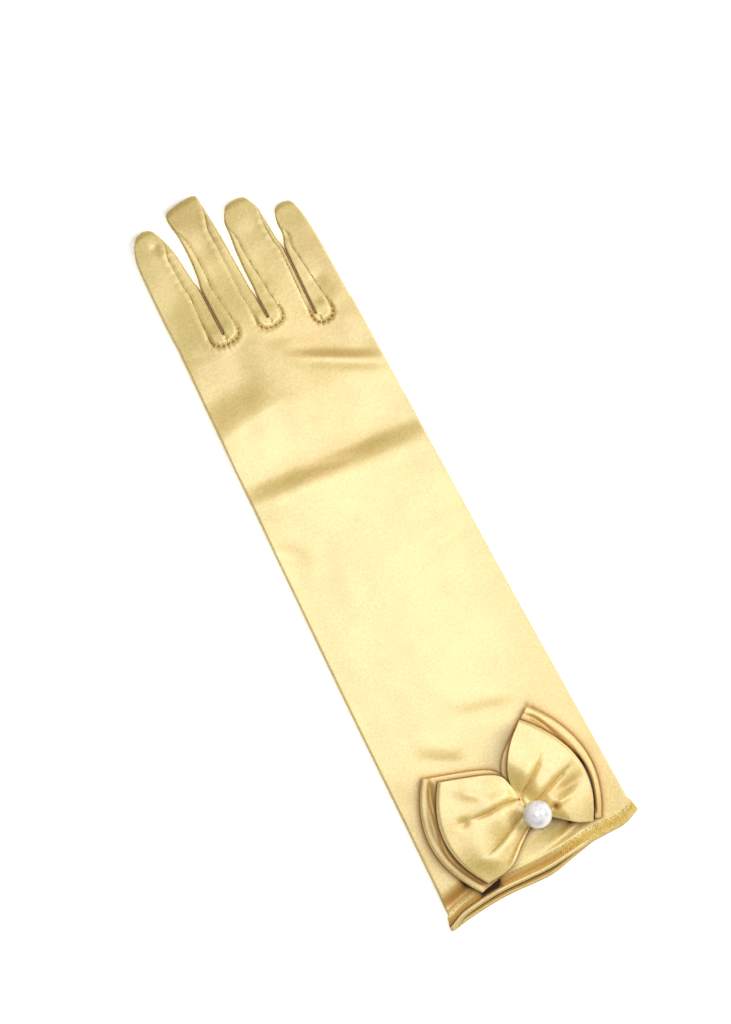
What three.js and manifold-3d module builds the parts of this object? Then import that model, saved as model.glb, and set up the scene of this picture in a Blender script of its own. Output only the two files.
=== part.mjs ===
// A child's long satin dress glove for the right hand, lying palm down as it
// is laid out to be shown: four fingers, a hidden thumb folded flat under the
// palm, a straight sleeve with a narrow hem, and a double bow with a pearl.
// Millimetres, +Z up. +Y runs from the hem to the fingertips, +X points to
// the little finger, and the underside rests on z = 0.
import * as THREE from 'three';
import { mergeVertices } from 'three/addons/utils/BufferGeometryUtils.js';
import Module from 'manifold-3d';

const wasm = await Module();
wasm.setup();

// Cloth
const CLOTH = 1.0; // one layer of satin with its seam allowances
const HEM_CLOTH = 1.6; // the turned and stitched edge
const SEAM_GAP = 0.3; // between two pieces that are sewn together

// Glove
const GLOVE_LENGTH = 341; // hem to the middle fingertip
const HAND_LENGTH = 138; // wrist crease to the middle fingertip
const CUFF_WIDTH = 96.5;
const WRIST_WIDTH = 85.3;
const PALM_WIDTH = 80.9; // flat, across the roots of the fingers
const SLEEVE_HEIGHT = 9.0; // as the empty sleeve stands on the table
const FINGER_HEIGHT = 9.0;
const EDGE_ROUND = 7.5; // how far in from an edge the upper side is rounded
const UNDER_ROUND = 2.4; // the same for the flat underside
const HEM_DEPTH = 5.5;
const HEM_FLARE = 2.0; // the hem stands out past the sleeve at each side

// Thumb, pressed flat under the palm
const THUMB_LENGTH = 60;
const THUMB_WIDTH = 25;
const THUMB_HEIGHT = 2.6;
const THUMB_HOLE_WIDTH = 17;
const THUMB_HOLE_LENGTH = 21;
const THUMB_TURN = 14; // degrees, towards the little finger
const THUMB_SLOPE = 14; // length over which the palm comes down beside it

// Fourchettes, the strips between the fingers
const FOURCHETTE_END = 5.5; // how far each reaches below the roots

// Bow
const BOW_SPAN = 82;
const BOW_CLOTH = 1.0;
const LOWER_BOW_HEIGHT = 4.8;
const UPPER_BOW_HEIGHT = 7.0;
const PINCH_HEIGHT = 3.6; // the cloth of each bow where it is gathered
const PINCH_WIDTH = 11;
const PINCH_LENGTH = 15;
const PLEAT_DEPTH = 0.22; // as a share of a loop's height
const FOLD_ROUND = 0.6; // how far a loop's outer fold is rounded, as a share of its height
const PEARL_DIAMETER = 13;

// Each finger's two edges, as shares of the palm width from the glove's
// middle line, at its root and at shares of its length, and how high it
// stands there as a share of the finger height.
const FINGERS = [
  {
    name: 'index', tip: 0.964,
    sections: [
      { along: 0.0, left: -0.510, right: -0.247, height: 1.00 },
      { along: 0.2, left: -0.512, right: -0.249, height: 1.00 },
      { along: 0.4, left: -0.510, right: -0.253, height: 1.00 },
      { along: 0.6, left: -0.506, right: -0.266, height: 1.00 },
      { along: 0.78, left: -0.500, right: -0.280, height: 0.98 },
      { along: 0.9, left: -0.482, right: -0.303, height: 0.86 },
      { along: 0.97, left: -0.447, right: -0.338, height: 0.62 },
      { along: 1.0, left: -0.412, right: -0.376, height: 0.32 },
    ],
  },
  {
    name: 'middle', tip: 1.0,
    sections: [
      { along: 0.0, left: -0.233, right: 0.015, height: 1.00 },
      { along: 0.2, left: -0.236, right: 0.008, height: 1.00 },
      { along: 0.4, left: -0.232, right: 0.002, height: 1.00 },
      { along: 0.6, left: -0.220, right: -0.004, height: 1.00 },
      { along: 0.78, left: -0.221, right: -0.012, height: 0.98 },
      { along: 0.9, left: -0.231, right: -0.018, height: 0.82 },
      { along: 0.96, left: -0.236, right: -0.022, height: 0.58 },
      { along: 1.0, left: -0.190, right: -0.034, height: 0.32 },
    ],
  },
  {
    name: 'ring', tip: 0.925,
    sections: [
      { along: 0.0, left: 0.030, right: 0.261, height: 1.00 },
      { along: 0.2, left: 0.026, right: 0.266, height: 1.00 },
      { along: 0.4, left: 0.023, right: 0.270, height: 1.00 },
      { along: 0.6, left: 0.028, right: 0.265, height: 1.00 },
      { along: 0.78, left: 0.040, right: 0.256, height: 0.98 },
      { along: 0.9, left: 0.056, right: 0.248, height: 0.84 },
      { along: 0.97, left: 0.075, right: 0.232, height: 0.60 },
      { along: 1.0, left: 0.104, right: 0.200, height: 0.32 },
    ],
  },
  {
    name: 'little', tip: 0.846,
    sections: [
      { along: 0.0, left: 0.276, right: 0.487, height: 1.00 },
      { along: 0.2, left: 0.278, right: 0.484, height: 1.00 },
      { along: 0.4, left: 0.280, right: 0.480, height: 1.00 },
      { along: 0.6, left: 0.286, right: 0.475, height: 1.00 },
      { along: 0.78, left: 0.304, right: 0.466, height: 0.98 },
      { along: 0.9, left: 0.313, right: 0.455, height: 0.84 },
      { along: 0.97, left: 0.326, right: 0.438, height: 0.60 },
      { along: 1.0, left: 0.350, right: 0.410, height: 0.32 },
    ],
  },
];
// Where two fingers part, as a share of the hand length from the wrist.
const CROTCHES = [0.558, 0.543, 0.482];

// Columns of points across one finger, from edge to edge.
const ACROSS = [-1, -0.74, -0.26, 0.26, 0.74, 1];

// Cross sections of the sleeve, as shares of the way from the hem to the
// wrist and from the wrist to the roots of the fingers.
const SLEEVE_SECTIONS = [0.15, 0.29, 0.34, 0.39, 0.5, 0.68, 0.78, 0.88, 0.94, 1.0];
const HAND_SECTIONS = [0.06, 0.13, 0.23, 0.34, 0.45, 0.56, 0.67, 0.78, 0.89];

// The hem line of the upper and the lower side, from left to right, as
// shares of the cuff width past the hem (down) or short of it (up).
const HEM_LINE = [
  { across: -1.0, upper: -0.068, lower: -0.072 },
  { across: -0.8, upper: -0.024, lower: -0.052 },
  { across: -0.4, upper: -0.006, lower: -0.042 },
  { across: 0.0, upper: -0.014, lower: -0.048 },
  { across: 0.3, upper: 0.004, lower: -0.014 },
  { across: 0.55, upper: 0.018, lower: 0.006 },
  { across: 0.8, upper: 0.016, lower: 0.012 },
  { across: 1.0, upper: 0.050, lower: 0.050 },
];

// Folds of the upper side: along is a share of the glove length, across of
// half the palm width, turn in degrees from straight across, reach and
// spread are half a fold's length and width as shares of the palm width,
// and rise is a share of the sleeve height.
const FOLDS = [
  { along: 0.575, across: 0.0, turn: -5, reach: 0.50, spread: 0.085, rise: 0.10 },
  { along: 0.618, across: 0.0, turn: -5, reach: 0.52, spread: 0.060, rise: -0.15 },
  { along: 0.744, across: 0.55, turn: -30, reach: 0.24, spread: 0.050, rise: -0.18 },
  { along: 0.771, across: 0.62, turn: -30, reach: 0.24, spread: 0.045, rise: 0.10 },
  { along: 0.728, across: 0.55, turn: -28, reach: 0.26, spread: 0.070, rise: 0.07 },
  { along: 0.222, across: 0.12, turn: -12, reach: 0.18, spread: 0.035, rise: -0.09 },
  { along: 0.210, across: -0.58, turn: -42, reach: 0.14, spread: 0.035, rise: -0.08 },
  { along: 0.452, across: 0.62, turn: 4, reach: 0.14, spread: 0.040, rise: -0.07 },
  { along: 0.512, across: -0.92, turn: -50, reach: 0.10, spread: 0.030, rise: -0.07 },
];

// The flange of each fourchette on the two fingers beside it, at the roots
// and near the tips, as shares of the palm width.
const FOURCHETTES = [
  { name: 'index_middle', leftRoot: 0.085, leftTip: 0.045, rightRoot: 0.085, rightTip: 0.020 },
  { name: 'middle_ring', leftRoot: 0.066, leftTip: 0.042, rightRoot: 0.085, rightTip: 0.020 },
  { name: 'ring_little', leftRoot: 0.026, leftTip: 0.020, rightRoot: 0.098, rightTip: 0.022 },
];
const FLANGE_STEPS = [0.03, 0.31, 0.57, 0.87]; // shares of the finger's length

// Half widths of the thumb, as shares of its width, along its length.
const THUMB_SECTIONS = [
  { along: 0.0, half: 0.22 },
  { along: 0.06, half: 0.40 },
  { along: 0.2, half: 0.50 },
  { along: 0.4, half: 0.49 },
  { along: 0.6, half: 0.41 },
  { along: 0.8, half: 0.37 },
  { along: 0.93, half: 0.27 },
  { along: 1.0, half: 0.11 },
];
const THUMB_ROOT = { across: -0.36, along: 0.065 }; // shares of palm width and hand length from the wrist
const THUMB_HOLE_ALONG = 0.27; // share of the thumb's length
const HOLE_SIDES = 20;

// The bow's wings seen from above, as shares of the bow's span from the
// pearl: each edge runs from its root at the pinch through its bends to its
// corner, and bulge is how far the outer end curves out. sink is how far a
// wing lies inside the bow's front and back, as a share of the bow's cloth,
// so that the left wing laps over the right one at the pinch.
const BOW_PLACE = { across: 0.105, along: 0.069 }; // shares of palm width and glove length
const WINGS = [
  {
    side: 'left', out: -1, sink: 0.1,
    high: [[-0.045, 0.08], [-0.062, 0.2], [-0.098, 0.3], [-0.2, 0.37]],
    low: [[-0.05, -0.03], [-0.145, -0.1], [-0.262, -0.19]],
    pleats: [0.25, -0.5],
  },
  {
    side: 'right', out: 1, sink: 0.25,
    high: [[-0.035, 0.08], [-0.05, 0.2], [-0.06, 0.265], [-0.006, 0.37]],
    low: [[0.05, -0.04], [0.1, -0.08], [0.18, -0.138]],
    pleats: [0.5, 0.0],
  },
];
const BOWS = [
  {
    name: 'bow_lower',
    left: { high: [-0.482, 0.451], low: [-0.47, -0.25], bulge: 0.128 },
    right: { high: [0.22, 0.549], low: [0.305, -0.177], bulge: 0.128 },
  },
  {
    name: 'bow_upper',
    left: { high: [-0.421, 0.409], low: [-0.396, -0.232], bulge: 0.11 },
    right: { high: [0.146, 0.506], low: [0.256, -0.171], bulge: 0.134 },
  },
];
const WING_FRONT = [0.0, 0.15, 0.34, 0.55, 0.76]; // shares of the way from pinch to fold
const WING_TURN = [90, 50, 5, -45, -90]; // degrees round the fold at the outer end
const WING_BACK = [0.5, 0.0];
const PUFF_START = 0.14; // the loops stay gathered this far out from the pearl
const WING_COLUMNS = 8;

// Curves and interpolation
const mix = (a, b, t) => a + (b - a) * t;
const smooth = (t) => {
  const s = Math.min(Math.max(t, 0), 1);
  return s * s * (3 - 2 * s);
};
// Reads a column of a table at a place between its rows.
function readTable(rows, key, place, column) {
  const last = rows.length - 1;
  let i = 0;
  while (i < last - 1 && place > rows[i + 1][key]) i += 1;
  const t = (place - rows[i][key]) / (rows[i + 1][key] - rows[i][key]);
  return mix(rows[i][column], rows[i + 1][column], Math.min(Math.max(t, 0), 1));
}
// A rounded shoulder: 0 at an edge, 1 from the rounding's width inwards.
function shoulder(distance, round) {
  const t = 1 - Math.min(Math.max(distance / round, 0), 1);
  return Math.sqrt(1 - t * t);
}

// A closed surface gathered from quads and triangles
class Skin {
  constructor() {
    this.coords = [];
  }

  tri(a, b, c) {
    if (a.distanceTo(b) < 1e-6 || b.distanceTo(c) < 1e-6 || c.distanceTo(a) < 1e-6) return;
    for (const p of [a, b, c]) this.coords.push(p.x, p.y, p.z);
  }

  quad(a, b, c, d) {
    this.tri(a, b, c);
    this.tri(a, c, d);
  }

  geometry() {
    const made = new THREE.BufferGeometry();
    made.setAttribute('position', new THREE.Float32BufferAttribute(this.coords, 3));
    return made;
  }
}

function toSolid(geometry) {
  const bare = geometry.clone();
  bare.deleteAttribute('normal');
  bare.deleteAttribute('uv');
  const merged = mergeVertices(bare, 1e-4);
  const mesh = new wasm.Mesh({
    numProp: 3,
    vertProperties: merged.attributes.position.array,
    triVerts: new Uint32Array(merged.index.array),
  });
  return new wasm.Manifold(mesh);
}

function toGeometry(solid) {
  const mesh = solid.getMesh();
  const coords = new Float32Array(mesh.numVert * 3);
  for (let i = 0; i < mesh.numVert; i += 1) {
    coords.set(mesh.vertProperties.subarray(i * mesh.numProp, i * mesh.numProp + 3), i * 3);
  }
  const made = new THREE.BufferGeometry();
  made.setAttribute('position', new THREE.BufferAttribute(coords, 3));
  made.setIndex(new THREE.BufferAttribute(mesh.triVerts, 1));
  made.computeVertexNormals();
  return made;
}

// An upright prism over a plan outline.
function prism(outline, bottom, top) {
  const shape = new THREE.Shape(outline.map((p) => new THREE.Vector2(p.x, p.y)));
  const block = new THREE.ExtrudeGeometry(shape, { depth: top - bottom, bevelEnabled: false });
  return toSolid(block.translate(0, 0, bottom));
}

// Plan of the glove
const WRIST = GLOVE_LENGTH - HAND_LENGTH;

function sleeveWidth(y) {
  const roots = WRIST + CROTCHES[0] * HAND_LENGTH;
  if (y < WRIST) return mix(CUFF_WIDTH, WRIST_WIDTH, Math.max(y, 0) / WRIST);
  return mix(WRIST_WIDTH, PALM_WIDTH, (y - WRIST) / (roots - WRIST));
}

// The middle line of the sleeve runs from the hem's middle to the middle
// between the two outer fingers.
function sleeveMiddle(y) {
  const index = FINGERS[0].sections[0];
  const little = FINGERS[3].sections[0];
  const roots = WRIST + CROTCHES[0] * HAND_LENGTH;
  return ((index.left + little.right) / 2) * PALM_WIDTH * smooth(y / (roots / 2));
}

// How far the palm is lifted by the thumb that lies under it.
const THUMB_START = {
  x: THUMB_ROOT.across * PALM_WIDTH,
  y: WRIST + THUMB_ROOT.along * HAND_LENGTH,
};
const THUMB_AXIS = new THREE.Vector2(
  Math.sin(THREE.MathUtils.degToRad(THUMB_TURN)),
  Math.cos(THREE.MathUtils.degToRad(THUMB_TURN)),
);
const LIFT = THUMB_HEIGHT + SEAM_GAP;

function lift(x, y) {
  const dx = x - THUMB_START.x;
  const dy = y - THUMB_START.y;
  const along = dx * THUMB_AXIS.x + dy * THUMB_AXIS.y;
  const aside = Math.abs(dx * THUMB_AXIS.y - dy * THUMB_AXIS.x);
  const half = readTable(THUMB_SECTIONS, 'along', along / THUMB_LENGTH, 'half') * THUMB_WIDTH;
  const past = Math.max(-along, along - THUMB_LENGTH, 0);
  const away = Math.hypot(Math.max(aside - half, 0), past) - THUMB_SLOPE * 0.25;
  return LIFT * smooth(1 - away / THUMB_SLOPE);
}

// Height that the folds add to the upper side.
function folds(x, y) {
  let rise = 0;
  for (const f of FOLDS) {
    const turn = THREE.MathUtils.degToRad(f.turn);
    const dx = x - f.across * PALM_WIDTH * 0.5;
    const dy = y - f.along * GLOVE_LENGTH;
    const u = (dx * Math.cos(turn) + dy * Math.sin(turn)) / (f.reach * PALM_WIDTH);
    const v = (dy * Math.cos(turn) - dx * Math.sin(turn)) / (f.spread * PALM_WIDTH);
    rise += f.rise * SLEEVE_HEIGHT * Math.exp(-(u ** 4) - v ** 2);
  }
  return rise;
}

// The upper and the lower point of one place on the glove. distance is how
// far it lies from the nearest edge, inset how far inside the outer surface.
const EDGE_LEVEL = 0.42; // share of the height at which the two sides meet
function sidePoints(x, y, height, distance, inset) {
  const base = lift(x, y) + inset;
  const inner = Math.max(height - 2 * inset, 0.3);
  const edge = inner * EDGE_LEVEL;
  const up = shoulder(distance, EDGE_ROUND);
  const under = shoulder(distance, UNDER_ROUND);
  return {
    upper: new THREE.Vector3(x, y, base + edge + (inner - edge) * up + folds(x, y) * up),
    lower: new THREE.Vector3(x, y, base + edge * (1 - under)),
  };
}

// One finger's row of points at a share of its length.
function fingerRow(finger, along, inset) {
  const left = readTable(finger.sections, 'along', along, 'left') * PALM_WIDTH + inset;
  const right = readTable(finger.sections, 'along', along, 'right') * PALM_WIDTH - inset;
  const height = readTable(finger.sections, 'along', along, 'height') * FINGER_HEIGHT;
  const half = (right - left) / 2;
  const middle = (left + right) / 2;
  return ACROSS.map((a) => {
    const x = middle + a * half;
    const y = fingerY(finger, along, a) - inset;
    return sidePoints(x, y, height, half * (1 - Math.abs(a)), inset);
  });
}

// A finger's two sides start at its two crotches, so its root is slanted.
function fingerRoots(finger) {
  const i = FINGERS.indexOf(finger);
  const left = CROTCHES[Math.max(i - 1, 0)];
  const right = CROTCHES[Math.min(i, CROTCHES.length - 1)];
  return [WRIST + left * HAND_LENGTH, WRIST + right * HAND_LENGTH];
}

function fingerY(finger, along, a) {
  const [left, right] = fingerRoots(finger);
  const root = mix(left, right, (a + 1) / 2);
  return mix(root, WRIST + finger.tip * HAND_LENGTH, along);
}

// The closed surface of hand and sleeve together, outside or inset.
function gloveSkin(inset, hemInset, past) {
  const skin = new Skin();
  const roots = FINGERS.flatMap((finger) => fingerRow(finger, 0, inset));
  const first = roots[0].upper;
  const last = roots[roots.length - 1].upper;
  const shares = roots.map((p) => (p.upper.x - first.x) / (last.x - first.x));
  const crotches = [];
  for (let i = 0; i < CROTCHES.length; i += 1) {
    const column = (i + 1) * ACROSS.length;
    crotches.push(roots[column - 1].upper.clone().lerp(roots[column].upper, 0.5));
  }

  // One row across sleeve or palm; place(share) gives y for both sides.
  function row(place, wall, flare) {
    return shares.map((share) => {
      const y = place(share);
      const width = sleeveWidth(y.upper) + 2 * flare - 2 * wall;
      const x = sleeveMiddle(y.upper) + (share - 0.5) * width;
      const side = Math.min(share, 1 - share) * width;
      const near = Math.min(...crotches.map((c) => Math.hypot(c.x - x, c.y - y.upper)));
      const height = mix(SLEEVE_HEIGHT, FINGER_HEIGHT, smooth((y.upper - WRIST) / (first.y - WRIST)));
      const made = sidePoints(x, y.upper, height, Math.min(side, near), wall);
      made.lower.y = y.lower;
      if (side < 1e-6) made.lower.copy(made.upper);
      return made;
    });
  }
  function hem(share, depth) {
    const across = 2 * share - 1;
    const upper = readTable(HEM_LINE, 'across', across, 'upper') * CUFF_WIDTH + depth;
    const lower = readTable(HEM_LINE, 'across', across, 'lower') * CUFF_WIDTH + depth;
    return { upper, lower };
  }
  const rows = [
    row((share) => hem(share, -past), hemInset, HEM_FLARE),
    row((share) => hem(share, HEM_DEPTH), hemInset, HEM_FLARE * 0.4),
    row((share) => hem(share, HEM_DEPTH + CLOTH), inset, 0),
  ];
  for (const part of SLEEVE_SECTIONS) {
    rows.push(row(() => ({ upper: part * WRIST, lower: part * WRIST }), inset, 0));
  }
  for (const part of HAND_SECTIONS) {
    rows.push(
      row(
        (share) => {
          const i = Math.min(Math.max(shares.findIndex((s) => s >= share - 1e-9), 0), roots.length - 1);
          const y = mix(WRIST, roots[i].upper.y, part);
          return { upper: y, lower: y };
        },
        inset,
        0,
      ),
    );
  }
  rows.push(roots);

  const sides = (a, b, i) => {
    skin.quad(a[i].upper, a[i + 1].upper, b[i + 1].upper, b[i].upper);
    skin.quad(b[i].lower, b[i + 1].lower, a[i + 1].lower, a[i].lower);
  };
  const columns = shares.length - 1;
  for (let i = 0; i < columns; i += 1) {
    skin.quad(rows[0][i].lower, rows[0][i + 1].lower, rows[0][i + 1].upper, rows[0][i].upper);
    for (let j = 0; j + 1 < rows.length; j += 1) sides(rows[j], rows[j + 1], i);
  }
  FINGERS.forEach((finger, k) => {
    let before = roots.slice(k * ACROSS.length, (k + 1) * ACROSS.length);
    for (const section of finger.sections.slice(1)) {
      const after = fingerRow(finger, section.along, inset);
      for (let i = 0; i + 1 < ACROSS.length; i += 1) sides(before, after, i);
      before = after;
    }
    for (let i = 0; i + 1 < ACROSS.length; i += 1) {
      skin.quad(before[i].upper, before[i + 1].upper, before[i + 1].lower, before[i].lower);
    }
  });
  return skin.geometry();
}

// The region of one fourchette seen from above, grown by a margin: up one
// seam, across the space between the two fingers, down the other seam and
// round the end below the roots.
function fourchetteOutline(number, grow) {
  const strip = FOURCHETTES[number];
  const last = FLANGE_STEPS[FLANGE_STEPS.length - 1];
  const seamPoint = (finger, edge, sign, along, rootFlange, tipFlange) => {
    const flange = mix(rootFlange, tipFlange, along / last) * PALM_WIDTH + grow;
    const x = readTable(finger.sections, 'along', along, edge) * PALM_WIDTH + sign * flange;
    const y = fingerY(finger, along, -sign) + (along === last ? grow : 0);
    return new THREE.Vector2(x, y);
  };
  const [before, after] = [FINGERS[number], FINGERS[number + 1]];
  const up = FLANGE_STEPS.map((along) =>
    seamPoint(before, 'right', -1, along, strip.leftRoot, strip.leftTip));
  const down = FLANGE_STEPS.map((along) =>
    seamPoint(after, 'left', 1, along, strip.rightRoot, strip.rightTip)).reverse();
  const past = 2 * CLOTH;
  const leftTop = up[up.length - 1].clone();
  leftTop.x += strip.leftTip * PALM_WIDTH + past;
  const rightTop = down[0].clone();
  rightTop.x -= strip.rightTip * PALM_WIDTH + past;
  const [first, final] = [up[0], down[down.length - 1]];
  const corner = (final.x - first.x) * 0.28;
  const bottom = WRIST + CROTCHES[number] * HAND_LENGTH - FOURCHETTE_END - grow;
  return [
    ...up,
    leftTop,
    rightTop,
    ...down,
    new THREE.Vector2(final.x, bottom + corner),
    new THREE.Vector2(final.x - corner, bottom),
    new THREE.Vector2(first.x + corner, bottom),
    new THREE.Vector2(first.x, bottom + corner),
  ];
}

// The thumb's outline as rows of points, outside or inset.
function thumbSkin(inset) {
  const skin = new Skin();
  const aside = new THREE.Vector2(THUMB_AXIS.y, -THUMB_AXIS.x);
  const height = THUMB_HEIGHT - 2 * inset;
  const rows = THUMB_SECTIONS.map((section) => {
    const along = mix(inset, THUMB_LENGTH - inset, section.along);
    const half = section.half * THUMB_WIDTH - inset;
    return [-1, -0.85, 0, 0.85, 1].map((a) => {
      const x = THUMB_START.x + THUMB_AXIS.x * along + aside.x * a * half;
      const y = THUMB_START.y + THUMB_AXIS.y * along + aside.y * a * half;
      const edge = Math.abs(a) === 1 ? height / 2 : 0;
      return {
        upper: new THREE.Vector3(x, y, inset + height - edge),
        lower: new THREE.Vector3(x, y, inset + edge),
      };
    });
  });
  for (let i = 0; i < 4; i += 1) {
    const [start, end] = [rows[0], rows[rows.length - 1]];
    skin.quad(start[i].lower, start[i + 1].lower, start[i + 1].upper, start[i].upper);
    skin.quad(end[i].upper, end[i + 1].upper, end[i + 1].lower, end[i].lower);
    for (let j = 0; j + 1 < rows.length; j += 1) {
      skin.quad(rows[j][i].upper, rows[j][i + 1].upper, rows[j + 1][i + 1].upper, rows[j + 1][i].upper);
      skin.quad(rows[j + 1][i].lower, rows[j + 1][i + 1].lower, rows[j][i + 1].lower, rows[j][i].lower);
    }
  }
  return skin.geometry();
}

function thumbHole(bottom, top) {
  const along = THUMB_HOLE_ALONG * THUMB_LENGTH;
  const outline = [];
  for (let i = 0; i < HOLE_SIDES; i += 1) {
    const turn = (i / HOLE_SIDES) * 2 * Math.PI;
    const u = (Math.cos(turn) * THUMB_HOLE_LENGTH) / 2 + along;
    const v = (Math.sin(turn) * THUMB_HOLE_WIDTH) / 2;
    outline.push(
      new THREE.Vector2(
        THUMB_START.x + THUMB_AXIS.x * u - THUMB_AXIS.y * v,
        THUMB_START.y + THUMB_AXIS.y * u + THUMB_AXIS.x * v,
      ),
    );
  }
  return prism(outline, bottom, top);
}

// Bow
const BOW_MIDDLE = {
  x: BOW_PLACE.across * PALM_WIDTH,
  y: BOW_PLACE.along * GLOVE_LENGTH,
};

// A point of a wing seen from above: r from the pinch to the outer end, t
// from the low edge (-1) to the high edge (1).
function wingPlan(wing, shape, r, t) {
  const edge = (points, corner) => {
    const knots = [...points, corner].map(
      (p) => new THREE.Vector2(BOW_MIDDLE.x + p[0] * BOW_SPAN, BOW_MIDDLE.y + p[1] * BOW_SPAN),
    );
    return new THREE.SplineCurve(knots).getPointAt(r);
  };
  const low = edge(wing.low, shape.low);
  const high = edge(wing.high, shape.high);
  const point = low.lerp(high, (t + 1) / 2);
  point.x += wing.out * shape.bulge * BOW_SPAN * (1 - t * t) * r * r;
  return point;
}

// How far the front of a wing stands above its back, with its pleats.
function wingHeight(wing, height, r, t) {
  const puff = mix(PINCH_HEIGHT, height, smooth((r - PUFF_START) / 0.4));
  let pleat = 0;
  for (const at of wing.pleats) pleat += Math.exp(-(((t - at) / 0.14) ** 2));
  const fade = smooth(r / 0.2) * (1 - smooth((r - 0.35) / 0.6));
  return puff * (1 - 0.12 * t * t) - PLEAT_DEPTH * height * pleat * fade;
}

// One wing is a band of cloth that runs out from the pinch, turns over at
// the outer end and comes back underneath, open along both edges. A row of
// the band is given by its place r and its height in the wing.
function wingRows(wing, shape, height, level, inset) {
  const fold = (height * FOLD_ROUND) / (BOW_SPAN / 2);
  const places = [
    ...WING_FRONT.map((r) => ({ r: r * (1 - fold), level: (full) => full - inset })),
    ...WING_TURN.map((degrees) => {
      const turn = THREE.MathUtils.degToRad(degrees);
      return {
        r: 1 - fold + Math.cos(turn) * (fold - inset / (BOW_SPAN / 2)),
        level: (full) => full / 2 + Math.sin(turn) * (full / 2 - inset),
      };
    }),
    ...WING_BACK.map((r) => ({ r: r * (1 - fold), level: () => inset })),
  ];
  const sunk = wing.sink * BOW_CLOTH;
  return places.map((place) => {
    const row = [];
    for (let c = 0; c <= WING_COLUMNS; c += 1) {
      const t = (2 * c) / WING_COLUMNS - 1;
      const p = wingPlan(wing, shape, place.r, t);
      const whole = wingHeight(wing, height, Math.min(place.r, 1 - fold), t);
      const full = Math.max(whole - 2 * sunk, 2 * BOW_CLOTH + SEAM_GAP);
      row.push(new THREE.Vector3(p.x, p.y, level + sunk + place.level(full)));
    }
    return row;
  });
}

function wingSkin(wing, shape, height, level) {
  const skin = new Skin();
  const outer = wingRows(wing, shape, height, level, 0);
  const inner = wingRows(wing, shape, height, level, BOW_CLOTH);
  const face = (a, b, c, d) => (wing.out > 0 ? skin.quad(a, b, c, d) : skin.quad(d, c, b, a));
  const end = outer.length - 1;
  for (let c = 0; c < WING_COLUMNS; c += 1) {
    for (let j = 0; j < end; j += 1) {
      face(outer[j][c], outer[j + 1][c], outer[j + 1][c + 1], outer[j][c + 1]);
      face(inner[j][c + 1], inner[j + 1][c + 1], inner[j + 1][c], inner[j][c]);
    }
    face(inner[0][c], outer[0][c], outer[0][c + 1], inner[0][c + 1]);
    face(outer[end][c], inner[end][c], inner[end][c + 1], outer[end][c + 1]);
  }
  for (let j = 0; j < end; j += 1) {
    const n = WING_COLUMNS;
    face(inner[j][0], inner[j + 1][0], outer[j + 1][0], outer[j][0]);
    face(outer[j][n], outer[j + 1][n], inner[j + 1][n], inner[j][n]);
  }
  return skin.geometry();
}

// The gathered middle that joins the two wings of one bow.
function pinch(level, height) {
  const knot = new THREE.CylinderGeometry(0.44, 0.5, 1, 16).rotateX(Math.PI / 2);
  knot.scale(PINCH_WIDTH, PINCH_LENGTH, height);
  return toSolid(knot.translate(BOW_MIDDLE.x, BOW_MIDDLE.y, level + height / 2));
}

function bowSolid(bow, height, level, pinchHeight) {
  let made = pinch(level, pinchHeight);
  for (const wing of WINGS) made = made.add(toSolid(wingSkin(wing, bow[wing.side], height, level)));
  return made;
}

// Materials
const satin = new THREE.MeshStandardMaterial({ color: 0xe3c878, roughness: 0.38, metalness: 0.0 });
const satinInside = new THREE.MeshStandardMaterial({ color: 0xd8bd70, roughness: 0.5, metalness: 0.0 });
const pearlCoat = new THREE.MeshStandardMaterial({ color: 0xf2eff0, roughness: 0.18, metalness: 0.0 });

// Assembly
const glove = new THREE.Group();
glove.name = 'satin_glove';

function addPiece(name, geometry, material) {
  const mesh = new THREE.Mesh(geometry, material);
  mesh.name = name;
  glove.add(mesh);
  return mesh;
}

const hollow = toSolid(gloveSkin(CLOTH, HEM_CLOTH, HEM_CLOTH));
const shell = toSolid(gloveSkin(0, 0, 0)).subtract(hollow);
const ABOVE = 3 * SLEEVE_HEIGHT;
let trank = shell.subtract(thumbHole(-CLOTH, LIFT + 2 * CLOTH));
FOURCHETTES.forEach((strip, number) => {
  const piece = shell.intersect(prism(fourchetteOutline(number, 0), -CLOTH, ABOVE));
  trank = trank.subtract(prism(fourchetteOutline(number, SEAM_GAP), -CLOTH, ABOVE));
  addPiece('fourchette_' + strip.name, toGeometry(piece), satin);
});
addPiece('trank', toGeometry(trank), satin);

const thumb = toSolid(thumbSkin(0))
  .subtract(toSolid(thumbSkin(CLOTH)))
  .subtract(thumbHole(THUMB_HEIGHT / 2, THUMB_HEIGHT + CLOTH));
addPiece('thumb', toGeometry(thumb), satinInside);

const lowerLevel = SLEEVE_HEIGHT + SEAM_GAP;
const upperLevel = lowerLevel + LOWER_BOW_HEIGHT + SEAM_GAP;
addPiece('bow_lower', toGeometry(bowSolid(BOWS[0], LOWER_BOW_HEIGHT, lowerLevel, LOWER_BOW_HEIGHT)), satin);
addPiece('bow_upper', toGeometry(bowSolid(BOWS[1], UPPER_BOW_HEIGHT, upperLevel, PINCH_HEIGHT)), satin);

const pearl = addPiece('pearl', new THREE.SphereGeometry(PEARL_DIAMETER / 2, 16, 12), pearlCoat);
pearl.rotation.x = Math.PI / 2;
pearl.position.set(BOW_MIDDLE.x, BOW_MIDDLE.y, upperLevel + PINCH_HEIGHT + SEAM_GAP + PEARL_DIAMETER / 2);

// The origin is the middle of the glove's plan, on the table.
const bounds = new THREE.Box3().setFromObject(glove);
const middle = bounds.getCenter(new THREE.Vector3());
glove.position.set(-middle.x, -middle.y, -bounds.min.z);

export default glove;
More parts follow.
